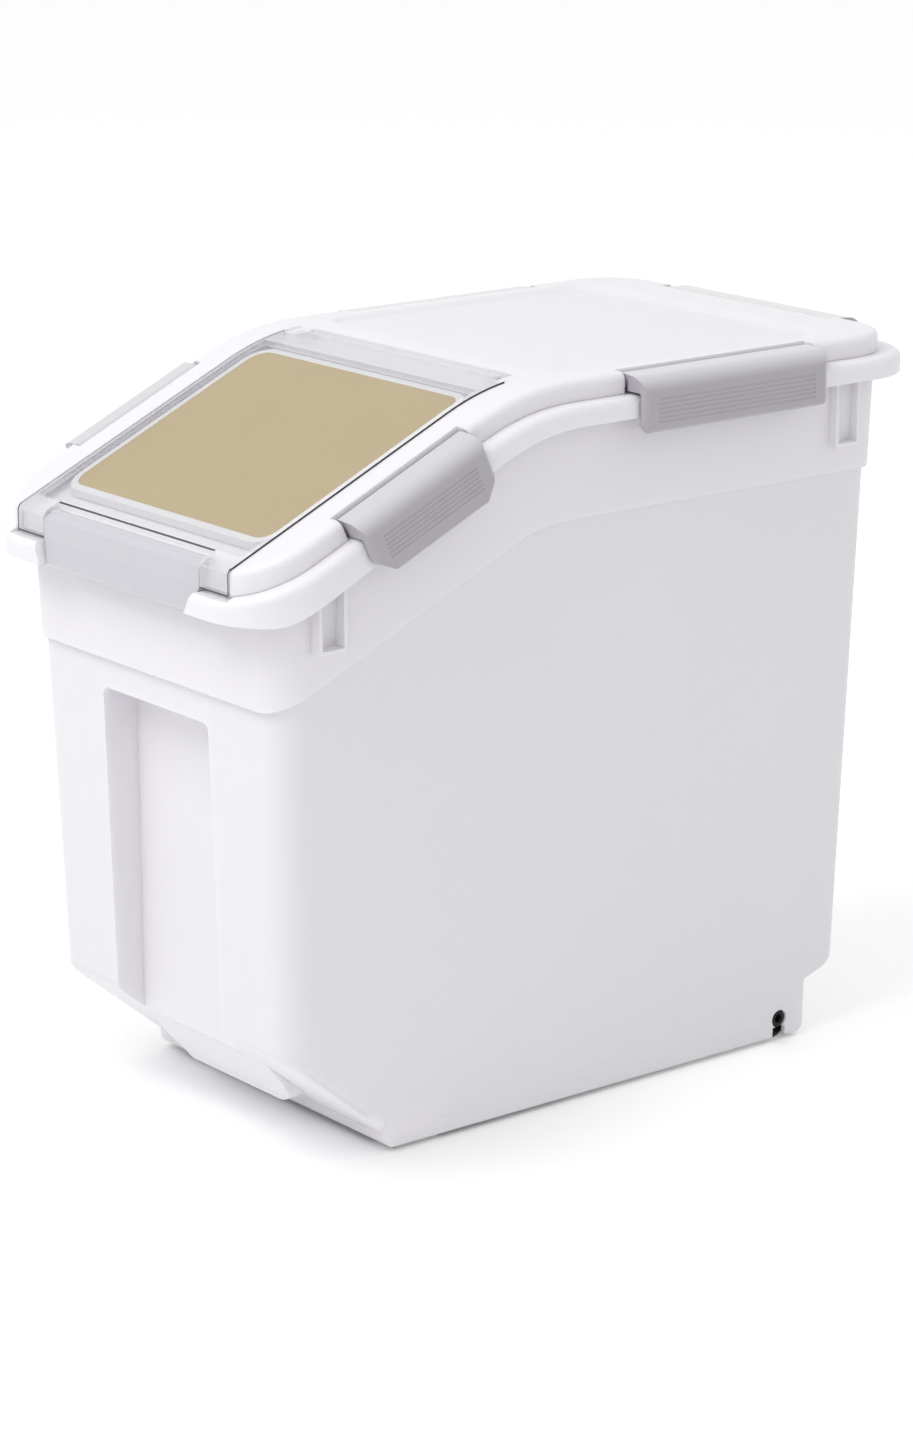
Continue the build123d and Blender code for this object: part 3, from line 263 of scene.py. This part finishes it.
def white_plastic(looks):
    """Satin white polypropylene: soft edges, fine grain, faint flow marks, scuffs near the floor.

    Faces that look down are painted a lighter white: painted light.
    """
    finish = new_finish("white_plastic")
    place = finish.place()
    height = finish.split(place)[2]
    up = finish.split(finish.facing())[2]
    soft = finish.soft_normal(looks.edge_radius)
    edge = finish.edge(soft)
    cloud = finish.noise(place, scale=11.0)
    flow = finish.noise(place, scale=6.0, detail=3.0, stretch=(9.0, 9.0, 1.0))
    grain = finish.noise(place, scale=looks.grain)
    scratch = finish.noise(place, scale=90.0, detail=3.0, stretch=(1.0, 1.0, 14.0))
    near_floor = 1.0 - finish.band(height, low=4.0 * MM, high=50.0 * MM)
    scuff = near_floor * finish.band(scratch, low=0.58, high=0.7)
    painted_underside_light = 1.0 - finish.band(up, low=-0.7, high=-0.2)
    colour = finish.mix(cloud, shade(looks.white, 0.985), shade(looks.white))
    # Painted light: faces that look down are painted a lighter white.
    colour = finish.mix(painted_underside_light, colour, shade(looks.white, 1.12))
    colour = finish.mix(0.25 * scuff, colour, shade(looks.white, 0.8))
    return finish.surface(
        {
            "Base Color": colour,
            "Roughness": 0.36 + 0.1 * flow + 0.05 * grain + 0.2 * scuff - 0.08 * edge,
            "Normal": finish.relief(grain - 0.6 * scuff, looks.grain_depth, soft),
            "IOR": 1.49,
            "Subsurface Weight": 0.35,
            "Subsurface Radius": (1.0, 1.0, 1.0),
            "Subsurface Scale": 6.0 * MM,
        }
    )


def grey_plastic(name, grey, crown, looks):
    """Glossy grey plastic of a latch: fine grain and paler rounded edges; the top takes the crown
    colour, painted light that makes it paler.
    """
    finish = new_finish(name)
    place = finish.place()
    up = finish.split(finish.facing())[2]
    soft = finish.soft_normal(looks.edge_radius)
    edge = finish.edge(soft)
    cloud = finish.noise(place, scale=30.0)
    grain = finish.noise(place, scale=1.3 * looks.grain)
    handled = finish.noise(place, scale=55.0, detail=3.0)
    colour = finish.mix(cloud, shade(grey, 0.97), shade(grey, 1.02))
    # Painted light: faces that look up take the paler crown colour.
    colour = finish.mix(finish.band(up, low=0.15, high=0.95), colour, shade(crown))
    colour = finish.mix(0.35 * edge, colour, shade(grey, 1.2))
    return finish.surface(
        {
            "Base Color": colour,
            "Roughness": 0.26 + 0.1 * handled + 0.05 * grain - 0.08 * edge,
            "Normal": finish.relief(grain, 0.4 * looks.grain_depth, soft),
            "IOR": 1.53,
            "Coat Weight": 0.8,
            "Coat Roughness": 0.1,
        }
    )


def depth_in_door(finish, y, z):
    """Depth below the door's top: from its slope, or behind the bend's start from its arc."""
    bend_y, bend_z = BEND_CENTRE
    top = BEND_R + DOOR_PROUD
    off_y, off_z = y - bend_y, z - bend_z
    on_slope = off_y < -BEND_R * math.sin(SLOPE)
    from_plane = top - (math.cos(SLOPE) * off_z - math.sin(SLOPE) * off_y)
    from_arc = top - finish.math("SQRT", off_y * off_y + off_z * off_z)
    return on_slope * from_plane + (1.0 - on_slope) * from_arc


def clear_plastic(looks):
    """Clear styrene of the door: a slight veil, frosted margins and latch ends, and painted dark
    lines on its cut edges: painted shade of its gaps and painted dark refraction.
    """
    finish = new_finish("clear_plastic")
    low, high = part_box("door")
    side, front, bottom = high[0], low[1], low[2]
    latch_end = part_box("front_latch")[1][0]
    seal_side, seal_rear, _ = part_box("door_gasket")[1]
    place = finish.place()
    x, y, z = finish.split(place)
    out = abs(x)
    to_side, to_rear, _ = finish.split(finish.facing())
    facing_front = to_rear < -0.6
    near_top = depth_in_door(finish, y, z) < EDGE_LINE
    facing_side = finish.band(abs(to_side), low=0.75, high=0.95)
    side_edge = facing_side * (out > side - SIDE_DEPTH) * near_top
    bay_front, bay_rear = (front + way for way in LATCH_BAY)
    in_bay = (y > bay_front) * (y < bay_rear) * (out < latch_end + LATCH_ROOM)
    behind_latch = facing_front * in_bay * near_top
    lower_edge = facing_front * (z < bottom + EDGE_LINE)
    front_corner = facing_front * (out > side - CORNER_LINE)
    # Painted shade of the gaps round the door and painted dark refraction at its cut edges.
    painted_edge_shade = side_edge | behind_latch | lower_edge | front_corner
    fade_front, fade_rear = (front + way for way in FROST_FADE)
    beside_latch = (1.0 - finish.band(y, fade_front, fade_rear)) * (out > latch_end - LATCH_ROOM)
    side_margin = finish.band(out, seal_side, seal_side + MARGIN_FADE)
    rear_margin = finish.band(y, seal_rear, seal_rear + MARGIN_FADE)
    frost = beside_latch | side_margin | rear_margin
    smear = finish.noise(place, scale=35.0, detail=4.0)
    ripple = finish.noise(place, scale=60.0)
    glance = finish.add("ShaderNodeLayerWeight", None, {"Blend": 0.12}, output="Fresnel")
    veil = 0.045 + 0.02 * smear + 0.06 * glance + 0.4 * frost
    colour = finish.mix(frost, shade(looks.clear), shade(looks.clear, 2.0))
    # The painted dark lines: dark and nearly opaque.
    colour = finish.mix(painted_edge_shade, colour, shade(looks.clear, 0.12))
    return finish.surface(
        {
            "Base Color": colour,
            "Roughness": 0.06 + 0.08 * smear,
            "Alpha": veil + 0.95 * painted_edge_shade,
            "Normal": finish.relief(ripple, 0.04 * MM),
            "IOR": 1.57,
        }
    )


def tan_panel(looks):
    """Tan panel under the door: matt, fine mealy speckle, slightly paler patches."""
    finish = new_finish("tan_panel")
    place = finish.place()
    cloud = finish.noise(place, scale=22.0, detail=3.0)
    meal = finish.noise(place, scale=900.0, detail=3.0)
    speck = finish.band(meal, low=0.5, high=0.75)
    colour = finish.mix(cloud, shade(looks.tan, 0.95), shade(looks.tan, 1.05))
    colour = finish.mix(0.3 * speck, colour, shade(looks.tan, 1.2))
    return finish.surface(
        {
            "Base Color": colour,
            "Roughness": 0.62 + 0.2 * meal,
            "Normal": finish.relief(meal, 0.1 * MM),
        }
    )


def silicone(looks):
    """Pale translucent-looking silicone of the seals: matt, with a faint dusting."""
    finish = new_finish("silicone")
    place = finish.place()
    dust = finish.noise(place, scale=180.0, detail=4.0)
    grain = finish.noise(place, scale=2500.0)
    colour = finish.mix(dust, shade(looks.silicone, 0.94), shade(looks.silicone, 1.03))
    return finish.surface(
        {
            "Base Color": colour,
            "Roughness": 0.5 + 0.25 * dust,
            "Normal": finish.relief(grain, 0.04 * MM),
            "IOR": 1.41,
        }
    )


def drawn_steel(looks):
    """Drawn steel rod: fine lines along X, with a light tarnish."""
    finish = new_finish("drawn_steel")
    place = finish.place()
    lines = finish.noise(place, scale=260.0, detail=3.0, stretch=(1.0, 24.0, 24.0))
    tarnish = finish.noise(place, scale=70.0, detail=4.0)
    return finish.surface(
        {
            "Base Color": finish.mix(tarnish, shade(looks.steel, 0.85), shade(looks.steel, 1.05)),
            "Metallic": 1.0,
            "Roughness": 0.24 + 0.18 * lines + 0.1 * tarnish,
            "Normal": finish.relief(lines, 0.02 * MM),
        }
    )


def black_plastic(looks):
    """Black nylon of the wheels and axles: satin, greyed by floor dust on the worn high spots."""
    finish = new_finish("black_plastic")
    place = finish.place()
    soft = finish.soft_normal(0.5 * looks.edge_radius)
    edge = finish.edge(soft)
    dust = finish.noise(place, scale=120.0, detail=4.0)
    grain = finish.noise(place, scale=1600.0)
    worn = 0.5 * finish.band(dust, low=0.45, high=0.8) + 0.25 * edge
    return finish.surface(
        {
            "Base Color": finish.mix(worn, shade(looks.black), shade(looks.black, 3.0)),
            "Roughness": 0.42 + 0.25 * dust,
            "Normal": finish.relief(grain, 0.08 * MM, soft),
            "IOR": 1.53,
            "Specular IOR Level": 0.25,
        }
    )


def foot_rubber(looks):
    """Pale rubber of the pads: matt and slightly dusty."""
    finish = new_finish("foot_rubber")
    place = finish.place()
    dust = finish.noise(place, scale=160.0, detail=4.0)
    grain = finish.noise(place, scale=1100.0, detail=3.0)
    return finish.surface(
        {
            "Base Color": finish.mix(dust, shade(looks.rubber, 0.85), shade(looks.rubber, 1.05)),
            "Roughness": 0.7 + 0.2 * dust,
            "Normal": finish.relief(grain, 0.1 * MM),
        }
    )


def dress(node, material):
    """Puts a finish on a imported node."""
    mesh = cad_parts[node].data
    mesh.materials.clear()
    mesh.materials.append(material)


def turned(name, knots, centre, closed, pocket=None):
    """Surface turned about an axis along X.

    Straight runs join the knots of a profile of x and radius. The point at place s on the profile
    and angle a is (x(s), r(s) sin a, r(s) cos a) from the centre, with x moved towards the middle
    by the pocket's depth, which is a function of the radius and the angle.
    """
    knots = np.array(knots + knots[:1] if closed else knots)
    run = np.arange((len(knots) - 1) * RUN_SAMPLES + (not closed)) / RUN_SAMPLES
    x, r = (np.interp(run, np.arange(len(knots)), column)[:, None] for column in knots.T)
    a = np.arange(TURN_SAMPLES)[None, :] * (2.0 * math.pi / TURN_SAMPLES)
    if pocket:
        x = x - np.sign(x) * pocket(r, a)
    points = np.stack(np.broadcast_arrays(x, r * np.sin(a), r * np.cos(a)), axis=-1)
    points = points.reshape(-1, 3) + np.array(centre)
    rows = np.arange(len(run) - (not closed))[:, None]
    columns = np.arange(TURN_SAMPLES)[None, :]
    next_rows, next_columns = (rows + 1) % len(run), (columns + 1) % TURN_SAMPLES
    first = [rows * TURN_SAMPLES + column for column in (columns, next_columns)]
    second = [next_rows * TURN_SAMPLES + column for column in (columns, next_columns)]
    quads = np.stack([first[0], second[0], second[1], first[1]], axis=-1).reshape(-1, 4)
    mesh = bpy.data.meshes.new(name)
    mesh.from_pydata(points.tolist(), [], quads.tolist())
    shape = bmesh.new()
    shape.from_mesh(mesh)
    bmesh.ops.remove_doubles(shape, verts=shape.verts, dist=MERGE)
    bmesh.ops.recalc_face_normals(shape, faces=shape.faces)
    shape.to_mesh(mesh)
    shape.free()
    mesh.shade_smooth()
    mesh.set_sharp_from_angle(angle=SHARP)
    piece = bpy.data.objects.new(name, mesh)
    bpy.context.scene.collection.objects.link(piece)
    return piece


def ramp(value, low, high):
    """0 below low, 1 above high, smooth between, for arrays."""
    t = np.clip((value - low) / (high - low), 0.0, 1.0)
    return t * t * (3.0 - 2.0 * t)


def wheel_piece(side, wheels):
    """Wheel with a grooved tread and pockets between spokes: a profile turned about the axle.

    A pocket is deep where the cosine of the angle times the number of spokes is low, and it runs
    out smoothly at the hub and at the rim.
    """
    low, high = (np.array(corner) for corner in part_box(f"wheel_{side}"))
    half, radius = (high[0] - low[0]) / 2, (high[2] - low[2]) / 2
    hub, rim = wheels.hub_radius, wheels.rim_radius
    web = rim - hub
    runout = web / 4
    face = [(half, wheels.bore_radius)] + [(half, hub + part * web) for part in WEB_PARTS]
    edge = wheels.edge_radius
    bend = [
        (half - edge * (1 - math.cos(turn)), radius - edge * (1 - math.sin(turn)))
        for turn in EDGE_TURNS
    ]
    groove = wheels.groove_width / 2
    floor = radius - wheels.groove_depth
    off = half / 3
    tread = [(off + groove, radius), (off + groove / 2, floor)]
    tread += [(off - groove / 2, floor), (off - groove, radius)]
    right = face + bend + tread
    left = [(-x, r) for x, r in reversed(right)]

    def pocket(r, a):
        spoke = ramp(np.cos(wheels.spokes * a), *SPOKE_EDGE)
        inside = ramp(r, hub, hub + runout) * (1.0 - ramp(r, rim - runout, rim))
        return wheels.pocket_depth * inside * (1.0 - spoke)

    return turned(f"grooved_wheel_{side}", right + left, (low + high) / 2, True, pocket)


def axle_piece(side, wheels):
    """Stub axle with a crowned, drilled head: a rod, a disc and a blind hole turned about the axle.

    The crown falls with the square of the way from the hole to the head's edge.
    """
    low, high = (np.array(corner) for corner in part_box(f"axle_{side}"))
    half, head = (high[0] - low[0]) / 2, (high[2] - low[2]) / 2
    rod, hole, crown = wheels.axle_radius, wheels.head_hole, wheels.head_crown
    under_head, hole_end = half - wheels.head_thickness, half - wheels.hole_depth
    profile = [(-half, 0.0), (-half, ROD_TIP * rod), (ROD_CHAMFER * rod - half, rod)]
    profile += [(under_head, rod), (under_head, head), (half - crown, head)]
    profile += [(half - crown * part * part, hole + (head - hole) * part) for part in CREST_PARTS]
    profile += [(half - crown, HOLE_MOUTH * hole), (hole_end, HOLE_END * hole), (hole_end, 0.0)]
    way = 1 if side == "right" else -1
    knots = [(way * x, r) for x, r in profile]
    return turned(f"drilled_axle_{side}", knots, (low + high) / 2, False)


class BinWheels(bpy.types.PropertyGroup):
    """Sizes of the wheels and the axles' heads."""

    spokes: IntProperty(
        name="Spokes", description="Spokes on each face of a wheel", default=6, min=3, max=12
    )
    hub_radius: FloatProperty(
        name="Hub radius", description="Radius of the hub", unit="LENGTH", default=5.2 * MM
    )
    rim_radius: FloatProperty(
        name="Rim radius", description="Inner radius of the rim", unit="LENGTH", default=9.4 * MM
    )
    bore_radius: FloatProperty(
        name="Bore radius",
        description="Radius of the hole for the axle",
        unit="LENGTH",
        default=3.05 * MM,
    )
    pocket_depth: FloatProperty(
        name="Pocket depth", description="Depth between spokes", unit="LENGTH", default=1.8 * MM
    )
    edge_radius: FloatProperty(
        name="Tread edge",
        description="Rounding of the tread's edges",
        unit="LENGTH",
        default=1.5 * MM,
    )
    groove_width: FloatProperty(
        name="Groove width",
        description="Width of the tread's grooves",
        unit="LENGTH",
        default=1.4 * MM,
    )
    groove_depth: FloatProperty(
        name="Groove depth",
        description="Depth of the tread's grooves",
        unit="LENGTH",
        default=0.5 * MM,
    )
    axle_radius: FloatProperty(
        name="Axle radius", description="Radius of the rod", unit="LENGTH", default=3.0 * MM
    )
    head_thickness: FloatProperty(
        name="Head thickness",
        description="Thickness of the axle's head",
        unit="LENGTH",
        default=1.3 * MM,
    )
    head_crown: FloatProperty(
        name="Head crown",
        description="Height of the axle head's crown",
        unit="LENGTH",
        default=0.7 * MM,
    )
    head_hole: FloatProperty(
        name="Head hole",
        description="Radius of the hole in the axle's head",
        unit="LENGTH",
        default=2.3 * MM,
    )
    hole_depth: FloatProperty(
        name="Hole depth",
        description="Depth of the hole in the axle's head",
        unit="LENGTH",
        default=5.0 * MM,
    )


class BinFinishes(bpy.types.PropertyGroup):
    """Colours and textures of the bin."""

    white: FloatVectorProperty(
        name="White",
        description="Tub and lid",
        subtype="COLOR",
        default=(0.84, 0.823, 0.86),
        min=0,
        max=1,
    )
    grey: FloatVectorProperty(
        name="Grey",
        description="Latches",
        subtype="COLOR",
        default=(0.39, 0.37, 0.41),
        min=0,
        max=1,
    )
    # Painted light: the latches' tops are painted in this paler colour.
    crown: FloatVectorProperty(
        name="Crown",
        description="Top of the latches",
        subtype="COLOR",
        default=(0.585, 0.575, 0.6),
        min=0,
        max=1,
    )
    front_grey: FloatVectorProperty(
        name="Front grey",
        description="Front latch",
        subtype="COLOR",
        default=(0.54, 0.53, 0.575),
        min=0,
        max=1,
    )
    # Painted light: the front latch's top is painted in this colour.
    front_painted_top: FloatVectorProperty(
        name="Front crown",
        description="Top of the front latch",
        subtype="COLOR",
        default=(0.55, 0.54, 0.585),
        min=0,
        max=1,
    )
    clear: FloatVectorProperty(
        name="Clear",
        description="Flip door",
        subtype="COLOR",
        default=(0.42, 0.42, 0.44),
        min=0,
        max=1,
    )
    tan: FloatVectorProperty(
        name="Tan",
        description="Panel under the door",
        subtype="COLOR",
        default=(0.5, 0.4, 0.215),
        min=0,
        max=1,
    )
    silicone: FloatVectorProperty(
        name="Silicone",
        description="Seals",
        subtype="COLOR",
        default=(0.8, 0.79, 0.81),
        min=0,
        max=1,
    )
    steel: FloatVectorProperty(
        name="Steel",
        description="Hinge rods and clips",
        subtype="COLOR",
        default=(0.6, 0.6, 0.62),
        min=0,
        max=1,
    )
    black: FloatVectorProperty(
        name="Black",
        description="Wheels and axles",
        subtype="COLOR",
        default=(0.009, 0.009, 0.011),
        min=0,
        max=1,
    )
    rubber: FloatVectorProperty(
        name="Rubber",
        description="Foot pads",
        subtype="COLOR",
        default=(0.62, 0.62, 0.61),
        min=0,
        max=1,
    )
    edge_radius: FloatProperty(
        name="Edge radius",
        description="Softness of moulded edges",
        unit="LENGTH",
        default=0.6 * MM,
        min=0,
    )
    grain: FloatProperty(
        name="Grain", description="Cells of moulded grain in a metre", default=1500.0, min=1
    )
    grain_depth: FloatProperty(
        name="Grain depth",
        description="Depth of the moulded grain",
        unit="LENGTH",
        default=0.05 * MM,
        min=0,
    )


class BinStage(bpy.types.PropertyGroup):
    """Camera, floor and light."""

    azimuth: FloatProperty(
        name="Azimuth",
        description="Camera's turn from the front",
        subtype="ANGLE",
        default=math.radians(51.794),
    )
    elevation: FloatProperty(
        name="Elevation",
        description="Camera's height angle",
        subtype="ANGLE",
        default=math.radians(15.732),
    )
    roll: FloatProperty(
        name="Roll", description="Camera's tilt", subtype="ANGLE", default=math.radians(-0.119)
    )
    distance: FloatProperty(
        name="Distance", description="Camera to the target", unit="LENGTH", default=1985.513 * MM
    )
    target: FloatVectorProperty(
        name="Target",
        description="Point that the camera looks at",
        unit="LENGTH",
        precision=4,
        default=(0.0, -2.1 * MM, 160.0 * MM),
    )
    lens: FloatProperty(
        name="Lens",
        description="Focal length",
        unit="CAMERA",
        default=FOCAL_PIXELS / PHOTO_LONG_SIDE * SENSOR,
    )
    shift: FloatVectorProperty(
        name="Shift",
        description="Offset of the frame, in long sides",
        size=2,
        precision=5,
        default=[pixels / PHOTO_LONG_SIDE for pixels in SHIFT_PIXELS],
    )
    ambient: FloatProperty(name="Ambient", description="Light from all round", default=0.78, min=0)
    key: FloatProperty(
        name="Key", description="Large lamp at the front", unit="POWER", default=21.0, min=0
    )
    fill: FloatProperty(
        name="Fill", description="Low lamp at the right", unit="POWER", default=0.2, min=0
    )
    floor: FloatVectorProperty(
        name="Floor",
        description="Colour of the floor",
        subtype="COLOR",
        default=(0.93, 0.93, 0.93),
        min=0,
        max=1,
    )
    floor_glow: FloatProperty(
        name="Floor lift",
        description="What the camera adds to the floor to make it white",
        default=0.25,
        min=0,
    )
    # Painted shadow: the floor near the bin's front is lifted less, so its shadow shows darker.
    painted_shadow_lift: FloatProperty(
        name="Near lift",
        description="What the camera adds to the floor at the bin's front",
        default=0.06,
        min=0,
    )


class BIN_OT_mouldings(bpy.types.Operator):
    """Finish the white tub and lid"""

    bl_idname = "bin.mouldings"
    bl_label = "White mouldings"

    def execute(self, context):
        material = white_plastic(context.scene.bin_finishes)
        for node in ("tub", "lid"):
            dress(node, material)
        return {"FINISHED"}


class BIN_OT_flip_door(bpy.types.Operator):
    """Finish the clear door and the tan panel under it"""

    bl_idname = "bin.flip_door"
    bl_label = "Flip door"

    def execute(self, context):
        dress("door", clear_plastic(context.scene.bin_finishes))
        dress("door_window", tan_panel(context.scene.bin_finishes))
        return {"FINISHED"}


class BIN_OT_seals(bpy.types.Operator):
    """Finish the seals of the lid and the door"""

    bl_idname = "bin.seals"
    bl_label = "Seals"

    def execute(self, context):
        material = silicone(context.scene.bin_finishes)
        for node in ("lid_gasket", "door_gasket"):
            dress(node, material)
        return {"FINISHED"}


class BIN_OT_latches(bpy.types.Operator):
    """Finish the six swing latches"""

    bl_idname = "bin.latches"
    bl_label = "Latches"

    def execute(self, context):
        looks = context.scene.bin_finishes
        # The crown colours are painted light on the latches' tops.
        material = grey_plastic("grey_plastic", looks.grey, looks.crown, looks)
        for node in LATCHES:
            dress(node, material)
        front = grey_plastic("front_grey_plastic", looks.front_grey, looks.front_painted_top, looks)
        dress("front_latch", front)
        return {"FINISHED"}


class BIN_OT_hinge_rods(bpy.types.Operator):
    """Finish the steel rods and clips"""

    bl_idname = "bin.hinge_rods"
    bl_label = "Hinge rods and clips"

    def execute(self, context):
        material = drawn_steel(context.scene.bin_finishes)
        rods = [f"{latch}_pin" for latch in LATCHES + ("front_latch",)]
        pairs = [f"{kind}_{side}" for kind in ("door_pin", "axle_clip") for side in SIDES]
        for node in rods + pairs:
            dress(node, material)
        return {"FINISHED"}


class BIN_OT_running_gear(bpy.types.Operator):
    """Make the wheels and axles, and finish the foot pads"""

    bl_idname = "bin.running_gear"
    bl_label = "Wheels and feet"

    def execute(self, context):
        black = black_plastic(context.scene.bin_finishes)
        rubber = foot_rubber(context.scene.bin_finishes)
        wheels = context.scene.bin_wheels
        for side in SIDES:
            wheel = wheel_piece(side, wheels)
            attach(wheel, f"wheel_{side}")
            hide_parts(f"wheel_{side}")
            axle = axle_piece(side, wheels)
            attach(axle, "tub")
            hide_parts(f"axle_{side}")
            for piece in (wheel, axle):
                piece.data.materials.append(black)
            dress(f"foot_pad_{side}", rubber)
        return {"FINISHED"}


class BIN_OT_stage(bpy.types.Operator):
    """Make the floor, the light and the camera"""

    bl_idname = "bin.stage"
    bl_label = "Stage"

    def execute(self, context):
        scene, settings = context.scene, context.scene.bin_stage
        scene.view_settings.view_transform = "Standard"
        self.make_world(scene, settings)
        self.make_floor(scene, settings)
        self.make_lamp(scene, "key", settings.key, KEY_PLACE, KEY_SIZE)
        self.make_lamp(scene, "fill", settings.fill, FILL_PLACE, FILL_SIZE)
        self.make_camera(scene, settings)
        return {"FINISHED"}

    def make_world(self, scene, settings):
        """Even white light; the camera, reflections and clear pieces see it at strength 1."""
        scene.world = bpy.data.worlds.new("studio")
        finish = Finish(scene.world)
        strength = settings.ambient + (1.0 - settings.ambient) * seen_directly(finish)
        sockets = {"Color": shade(WHITE), "Strength": strength}
        light = finish.add("ShaderNodeBackground", None, sockets)
        finish.add("ShaderNodeOutputWorld", None, {"Surface": light})

    def make_floor(self, scene, settings):
        """Pale matt plane that keeps the shadow; the camera sees it lifted to white, less so at the
        bin's front, where that paints a deeper shadow.
        """
        half = FLOOR_HALF
        corners = [(-half, -half, 0), (half, -half, 0), (half, half, 0), (-half, half, 0)]
        mesh = bpy.data.meshes.new("floor")
        mesh.from_pydata(corners, [], [(0, 1, 2, 3)])
        floor = bpy.data.objects.new("floor", mesh)
        scene.collection.objects.link(floor)
        finish = new_finish("floor")
        place = finish.place()
        grain = finish.noise(place, scale=40.0, detail=3.0)
        colour = finish.mix(grain, shade(settings.floor, 0.99), shade(settings.floor))
        matt = finish.add("ShaderNodeBsdfDiffuse", None, {"Color": colour})
        x, y, _ = finish.split(place)
        # Painted shadow: less lift near the bin's front.
        from_front = y - CAD_BOX[0][1]
        away = finish.band(finish.math("SQRT", x * x + from_front * from_front), *NEAR_FLOOR)
        lift = finish.mix(away, shade(WHITE, settings.painted_shadow_lift), shade(WHITE, settings.floor_glow))
        glow = finish.add("ShaderNodeEmission", None, {"Color": lift})
        both = finish.add("ShaderNodeAddShader", None, {0: matt, 1: glow})
        sockets = {0: seen_directly(finish), 1: matt, 2: both}
        ground = finish.add("ShaderNodeMixShader", None, sockets)
        finish.add("ShaderNodeOutputMaterial", None, {"Surface": ground})
        mesh.materials.append(finish.holder)

    def make_lamp(self, scene, name, energy, place, size):
        """Large soft lamp that faces the bin."""
        light = bpy.data.lights.new(name, "AREA")
        light.shape = "RECTANGLE"
        light.size, light.size_y = size
        light.energy = energy
        lamp = bpy.data.objects.new(name, light)
        lamp.location = place
        lamp.rotation_euler = (LAMP_AIM - lamp.location).to_track_quat("-Z", "Y").to_euler()
        scene.collection.objects.link(lamp)

    def make_camera(self, scene, settings):
        """Camera on a ball round the target: back is (sin a cos e, -cos a cos e, sin e)."""
        turn, rise, roll = settings.azimuth, settings.elevation, settings.roll
        flat = math.cos(rise)
        back = Vector((math.sin(turn) * flat, -math.cos(turn) * flat, math.sin(rise)))
        level = Vector((math.cos(turn), math.sin(turn), 0.0))
        upright = back.cross(level)
        right = level * math.cos(roll) + upright * math.sin(roll)
        up = upright * math.cos(roll) - level * math.sin(roll)
        lens = bpy.data.cameras.new("camera")
        lens.sensor_width = SENSOR
        lens.lens = settings.lens
        lens.shift_x, lens.shift_y = settings.shift
        lens.clip_start, lens.clip_end = CLIP
        camera = bpy.data.objects.new("camera", lens)
        place = Vector(settings.target) + back * settings.distance
        turned_to = Matrix((right, up, back)).transposed().to_4x4()
        camera.matrix_world = Matrix.Translation(place) @ turned_to
        scene.collection.objects.link(camera)
        scene.camera = camera


OPERATORS = (
    BIN_OT_mouldings,
    BIN_OT_flip_door,
    BIN_OT_seals,
    BIN_OT_latches,
    BIN_OT_hinge_rods,
    BIN_OT_running_gear,
    BIN_OT_stage,
)


class BIN_PT_panel(bpy.types.Panel):
    """Sidebar panel with the bin's pieces and settings"""

    bl_label = "Ingredient bin"
    bl_idname = "BIN_PT_panel"
    bl_space_type = "VIEW_3D"
    bl_region_type = "UI"
    bl_category = "Bin"

    def draw(self, context):
        scene = context.scene
        for operator in OPERATORS:
            self.layout.operator(operator.bl_idname)
        for group in (scene.bin_wheels, scene.bin_finishes, scene.bin_stage):
            for name in group.__annotations__:
                self.layout.prop(group, name)


CLASSES = (BinWheels, BinFinishes, BinStage) + OPERATORS + (BIN_PT_panel,)


def register():
    """Register the classes and put the settings on the scene."""
    for kind in CLASSES:
        bpy.utils.register_class(kind)
    bpy.types.Scene.bin_wheels = PointerProperty(type=BinWheels)
    bpy.types.Scene.bin_finishes = PointerProperty(type=BinFinishes)
    bpy.types.Scene.bin_stage = PointerProperty(type=BinStage)


def unregister():
    """Take the settings and the classes away again."""
    del bpy.types.Scene.bin_stage
    del bpy.types.Scene.bin_finishes
    del bpy.types.Scene.bin_wheels
    for kind in reversed(CLASSES):
        bpy.utils.unregister_class(kind)


def main():
    """Register the classes, then make every piece and the stage."""
    register()
    for operator in OPERATORS:
        group, name = operator.bl_idname.split(".")
        getattr(getattr(bpy.ops, group), name)()


if __name__ == "__main__":
    main()
